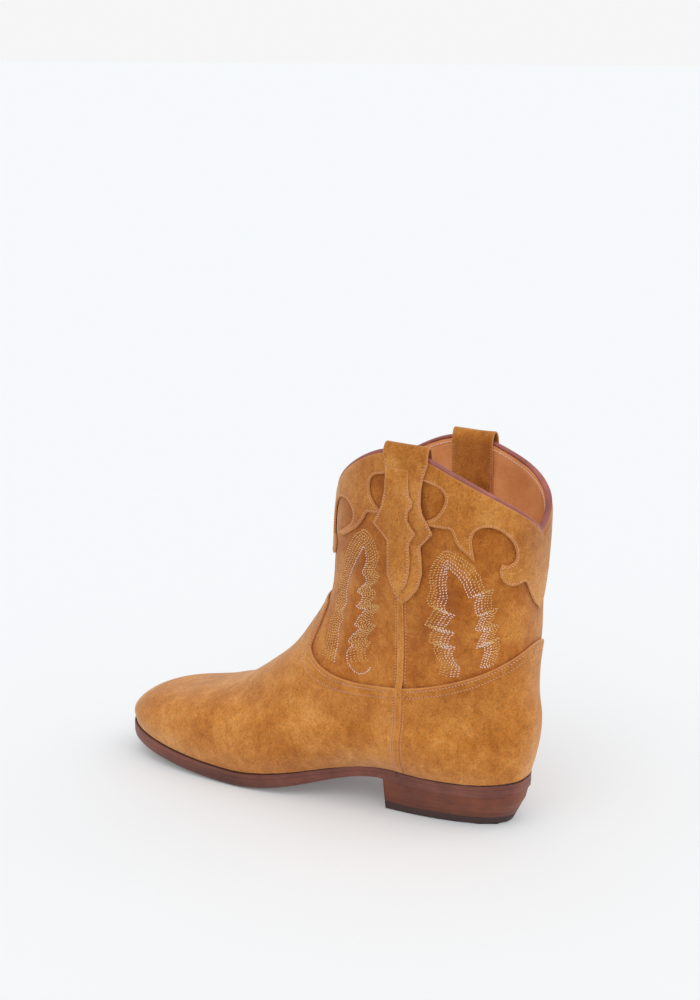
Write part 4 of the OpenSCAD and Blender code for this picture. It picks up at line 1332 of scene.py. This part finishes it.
# How far the outsole's edge is rounded in, from its top (0) to its underside (1)
OUTSOLE_SHARES = [0, 0.012, 0.06, 0.35, 0.6, 0.8, 0.93, 1]
OUTSOLE_INSETS = [0.08, 0, -0.04, -0.08, 0, 0.35, 1.0, 1.9]


def outsole():
    """Its lower edge is rounded, except where the heel sits under it"""
    line = sole_outline(520, lambda a: edge_outline(a, np.zeros_like(a)))
    over_heel = 1 - smooth(HEEL_BREAST - 3, HEEL_BREAST + 6, line[:, 1])[:, None]

    def shaped(share):
        step_in = np.interp(share, OUTSOLE_SHARES, OUTSOLE_INSETS)
        return inset(line, mix(step_in, min(step_in, 0.1), over_heel))
    slab_piece("outsole_leather", shaped, lambda p: feather_z(p[:, 1]) - WELT_T - JOINT_GAP,
               lambda p: sole_low(p[:, 1]), [(0, share) for share in OUTSOLE_SHARES], EDGE,
               ["outsole"])


HEEL_TOP_Z = float(sole_low(np.array(HEEL_BREAST)))
LIFT_T = (HEEL_TOP_Z - TOP_LIFT_T) / 4.4
HEEL_LOW_X, HEEL_LOW_HALF, HEEL_LOW_BACK, HEEL_ROUND = 4.0, 25.5, 12.0, 2.2
HEEL_INSET = 0.3
BREAST_ANGLE = float(angle_at(HEEL_BREAST, 0.0))


def heel_outline(z, count=150):
    """Outline of the heel at height z: it follows the sole above and shrinks to a rounded outline
    at the ground, with a straight front face"""
    b = np.radians(np.linspace(0, 180, count))
    c, s = np.cos(b), np.sin(b)
    low = np.column_stack([HEEL_LOW_X + np.sign(c) * HEEL_LOW_HALF * np.abs(c) ** (2 / HEEL_ROUND),
                           HEEL_BREAST - (HEEL_BREAST - HEEL_LOW_BACK) * np.abs(s) ** (2 / HEEL_ROUND)])
    a = np.linspace(360 - BREAST_ANGLE, BREAST_ANGLE, count)
    high = edge_outline(a, np.full_like(a, -HEEL_INSET))
    high[:, 1] = np.minimum(high[:, 1], HEEL_BREAST)
    arc = mix(low, high, z / HEEL_TOP_Z)
    breast = mix(arc[-1], arc[0], np.linspace(0, 1, 40)[1:-1, None])
    line = np.concatenate([arc, breast])
    area = np.sum(line[:, 0] * np.roll(line[:, 1], -1) - line[:, 1] * np.roll(line[:, 0], -1))
    return line if area > 0 else line[::-1]


LIFT_PROFILE = [(0.06, 0), (0.02, 0.01), (0, 0.03), (0, 0.5), (0, 0.97), (0.02, 0.99), (0.06, 1)]
LIFT_GAP = 0.04        # the lifts are pressed together closer than their drawn clearance


def heel():
    rng = np.random.default_rng(7)
    floors = [TOP_LIFT_T + k * LIFT_T + LIFT_GAP for k in range(4)]
    for k, z0 in enumerate(floors):
        z1 = TOP_LIFT_T + (k + 1) * LIFT_T
        proud = float(rng.uniform(-0.06, 0.06))
        profile = [(i + proud, share) for i, share in LIFT_PROFILE]
        last = k == 3
        high = (lambda p: sole_low(p[:, 1]) - LIFT_GAP) if last else (lambda p, z=z1: np.full(len(p), z))
        node = "heel_wedge" if last else f"heel_lift_{k + 1}"
        slab_piece(node + "_leather", lambda share, z0=z0, z1=z1: heel_outline(mix(z1, z0, share)), high,
                   lambda p, z=z0: np.full(len(p), z), profile, HEEL, [node])
    profile = [(0.5, 0), (0.1, 0.05), (0, 0.14), (0, 0.5), (0.05, 0.86), (0.3, 0.96), (0.8, 1)]
    slab_piece("top_lift_rubber", lambda share: heel_outline(TOP_LIFT_T * (1 - share)),
               lambda p: np.full(len(p), TOP_LIFT_T), lambda p: np.zeros(len(p)), profile, RUBBER,
               ["top_lift"])


def sock_liner():
    line = sole_outline(360, lambda a: outline_at(a, np.full_like(a, -4.7)))
    base = 2.5
    profile = [(0.5, 0), (0.12, 0.15), (0, 0.5), (0.2, 0.85), (0.6, 1)]
    slab_piece("sock_liner_leather", lambda share: line, lambda p: feather_z(p[:, 1]) + base + 1.5,
               lambda p: feather_z(p[:, 1]) + base, profile, LINING, ["sock_liner"])


def inner_parts():
    """CAD pieces that stay as they are and only get their materials"""
    looks = {"toe_puff": FIBRE, "counter_stiffener": FIBRE, "insole_board": BOARD, "steel_shank": STEEL,
             "cork_filler": CORK, "heel_nails": BRASS}
    for name, look in looks.items():
        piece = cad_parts[name]
        piece.data.materials.clear()
        piece.data.materials.append(look)


# --- Studio ------------------------------------------------------------------------------------

PAPER = srgb(246, 246, 246)
FLOOR = (0.732, 0.75, 0.758)
SKY = 0.66
FLOOR_GLOW = 0.142
# [name, azimuth it comes from, height, strength, spread, colour]
LAMPS = [
    ("key_sun", 205, 55, 0.78, 60, (1.0, 1.0, 1.0)),
    ("heel_sun", 285, 38, 0.6, 60, (1.0, 1.0, 1.0)),
    ("top_sun", 130, 68, 0.35, 80, (1.0, 1.0, 1.0)),
]


def studio():
    """Pale floor under an even white sky, with one broad soft sun"""
    bpy.ops.mesh.primitive_plane_add(size=60, location=(0, 0, -0.0002))
    floor = bpy.context.object
    floor.name = "floor"
    made, n = material("floor_paper", PAPER)
    n.surface(FLOOR, 0.9, None, Specular_IOR_Level=0.0, Emission_Color=(1, 1, 1, 1),
              Emission_Strength=FLOOR_GLOW)
    floor.data.materials.append(made)
    world = bpy.context.scene.world or bpy.data.worlds.new("studio")
    bpy.context.scene.world = world
    world.use_nodes = True
    n = Nodes(world.node_tree)
    sky = n.add("Background", Strength=SKY)
    sky.inputs["Color"].default_value = (0.98, 0.985, 1.0, 1)
    seen = n.add("Background", Strength=1.0)
    seen.inputs["Color"].default_value = (*PAPER, 1)
    path = n.add("LightPath")
    both = n.add("MixShader")
    n.link(path.outputs["Is Camera Ray"], both, 0)
    n.link(sky.outputs[0], both, 1)
    n.link(seen.outputs[0], both, 2)
    n.link(both.outputs[0], n.add("OutputWorld"), "Surface")
    for name, azimuth, height, strength, spread, tint in LAMPS:
        lamp = bpy.data.lights.new(name, "SUN")
        lamp.energy = strength
        lamp.angle = math.radians(spread)
        lamp.color = tint
        holder = bpy.data.objects.new(name, lamp)
        bpy.context.scene.collection.objects.link(holder)
        turn, rise = math.radians(azimuth), math.radians(height)
        toward = Vector((math.cos(turn) * math.cos(rise), math.sin(turn) * math.cos(rise), math.sin(rise)))
        holder.rotation_euler = toward.to_track_quat("Z", "Y").to_euler()


CAMERA_AZIMUTH, CAMERA_HEIGHT, CAMERA_DISTANCE = 30.27, 14.55, 1.1145
CAMERA_TARGET = (0, 126.6, 192)
CAMERA_LENS, CAMERA_SENSOR = 63.96, 36


def camera():
    azimuth, height = math.radians(CAMERA_AZIMUTH), math.radians(CAMERA_HEIGHT)
    target = Vector((CAMERA_TARGET + SHIFT) * MM)
    back = Vector((-math.cos(azimuth) * math.cos(height), -math.sin(azimuth) * math.cos(height),
                   math.sin(height)))
    data = bpy.data.cameras.new("camera")
    data.sensor_fit = "VERTICAL"
    data.sensor_height = CAMERA_SENSOR
    data.lens = CAMERA_LENS
    holder = bpy.data.objects.new("camera", data)
    bpy.context.scene.collection.objects.link(holder)
    holder.location = target + back * CAMERA_DISTANCE
    holder.rotation_euler = back.to_track_quat("Z", "Y").to_euler()
    bpy.context.scene.camera = holder


camera()
studio()
vamp()
heel_counter()
shafts()
linings()
collar("collar_front_suede", True, FRONT_COLLAR, FRONT_CORNERS, "collar_front")
collar("collar_back_suede", False, BACK_COLLAR, BACK_CORNERS, "collar_back")
top_binding()
side_seams()
pull_straps()
upper_seams()
leaf_seams()
collar_seams()
strap_seams()
lining_seam()
welt()
welt_crease()
outsole()
heel()
sock_liner()
inner_parts()
bpy.context.scene.view_settings.view_transform = "Standard"
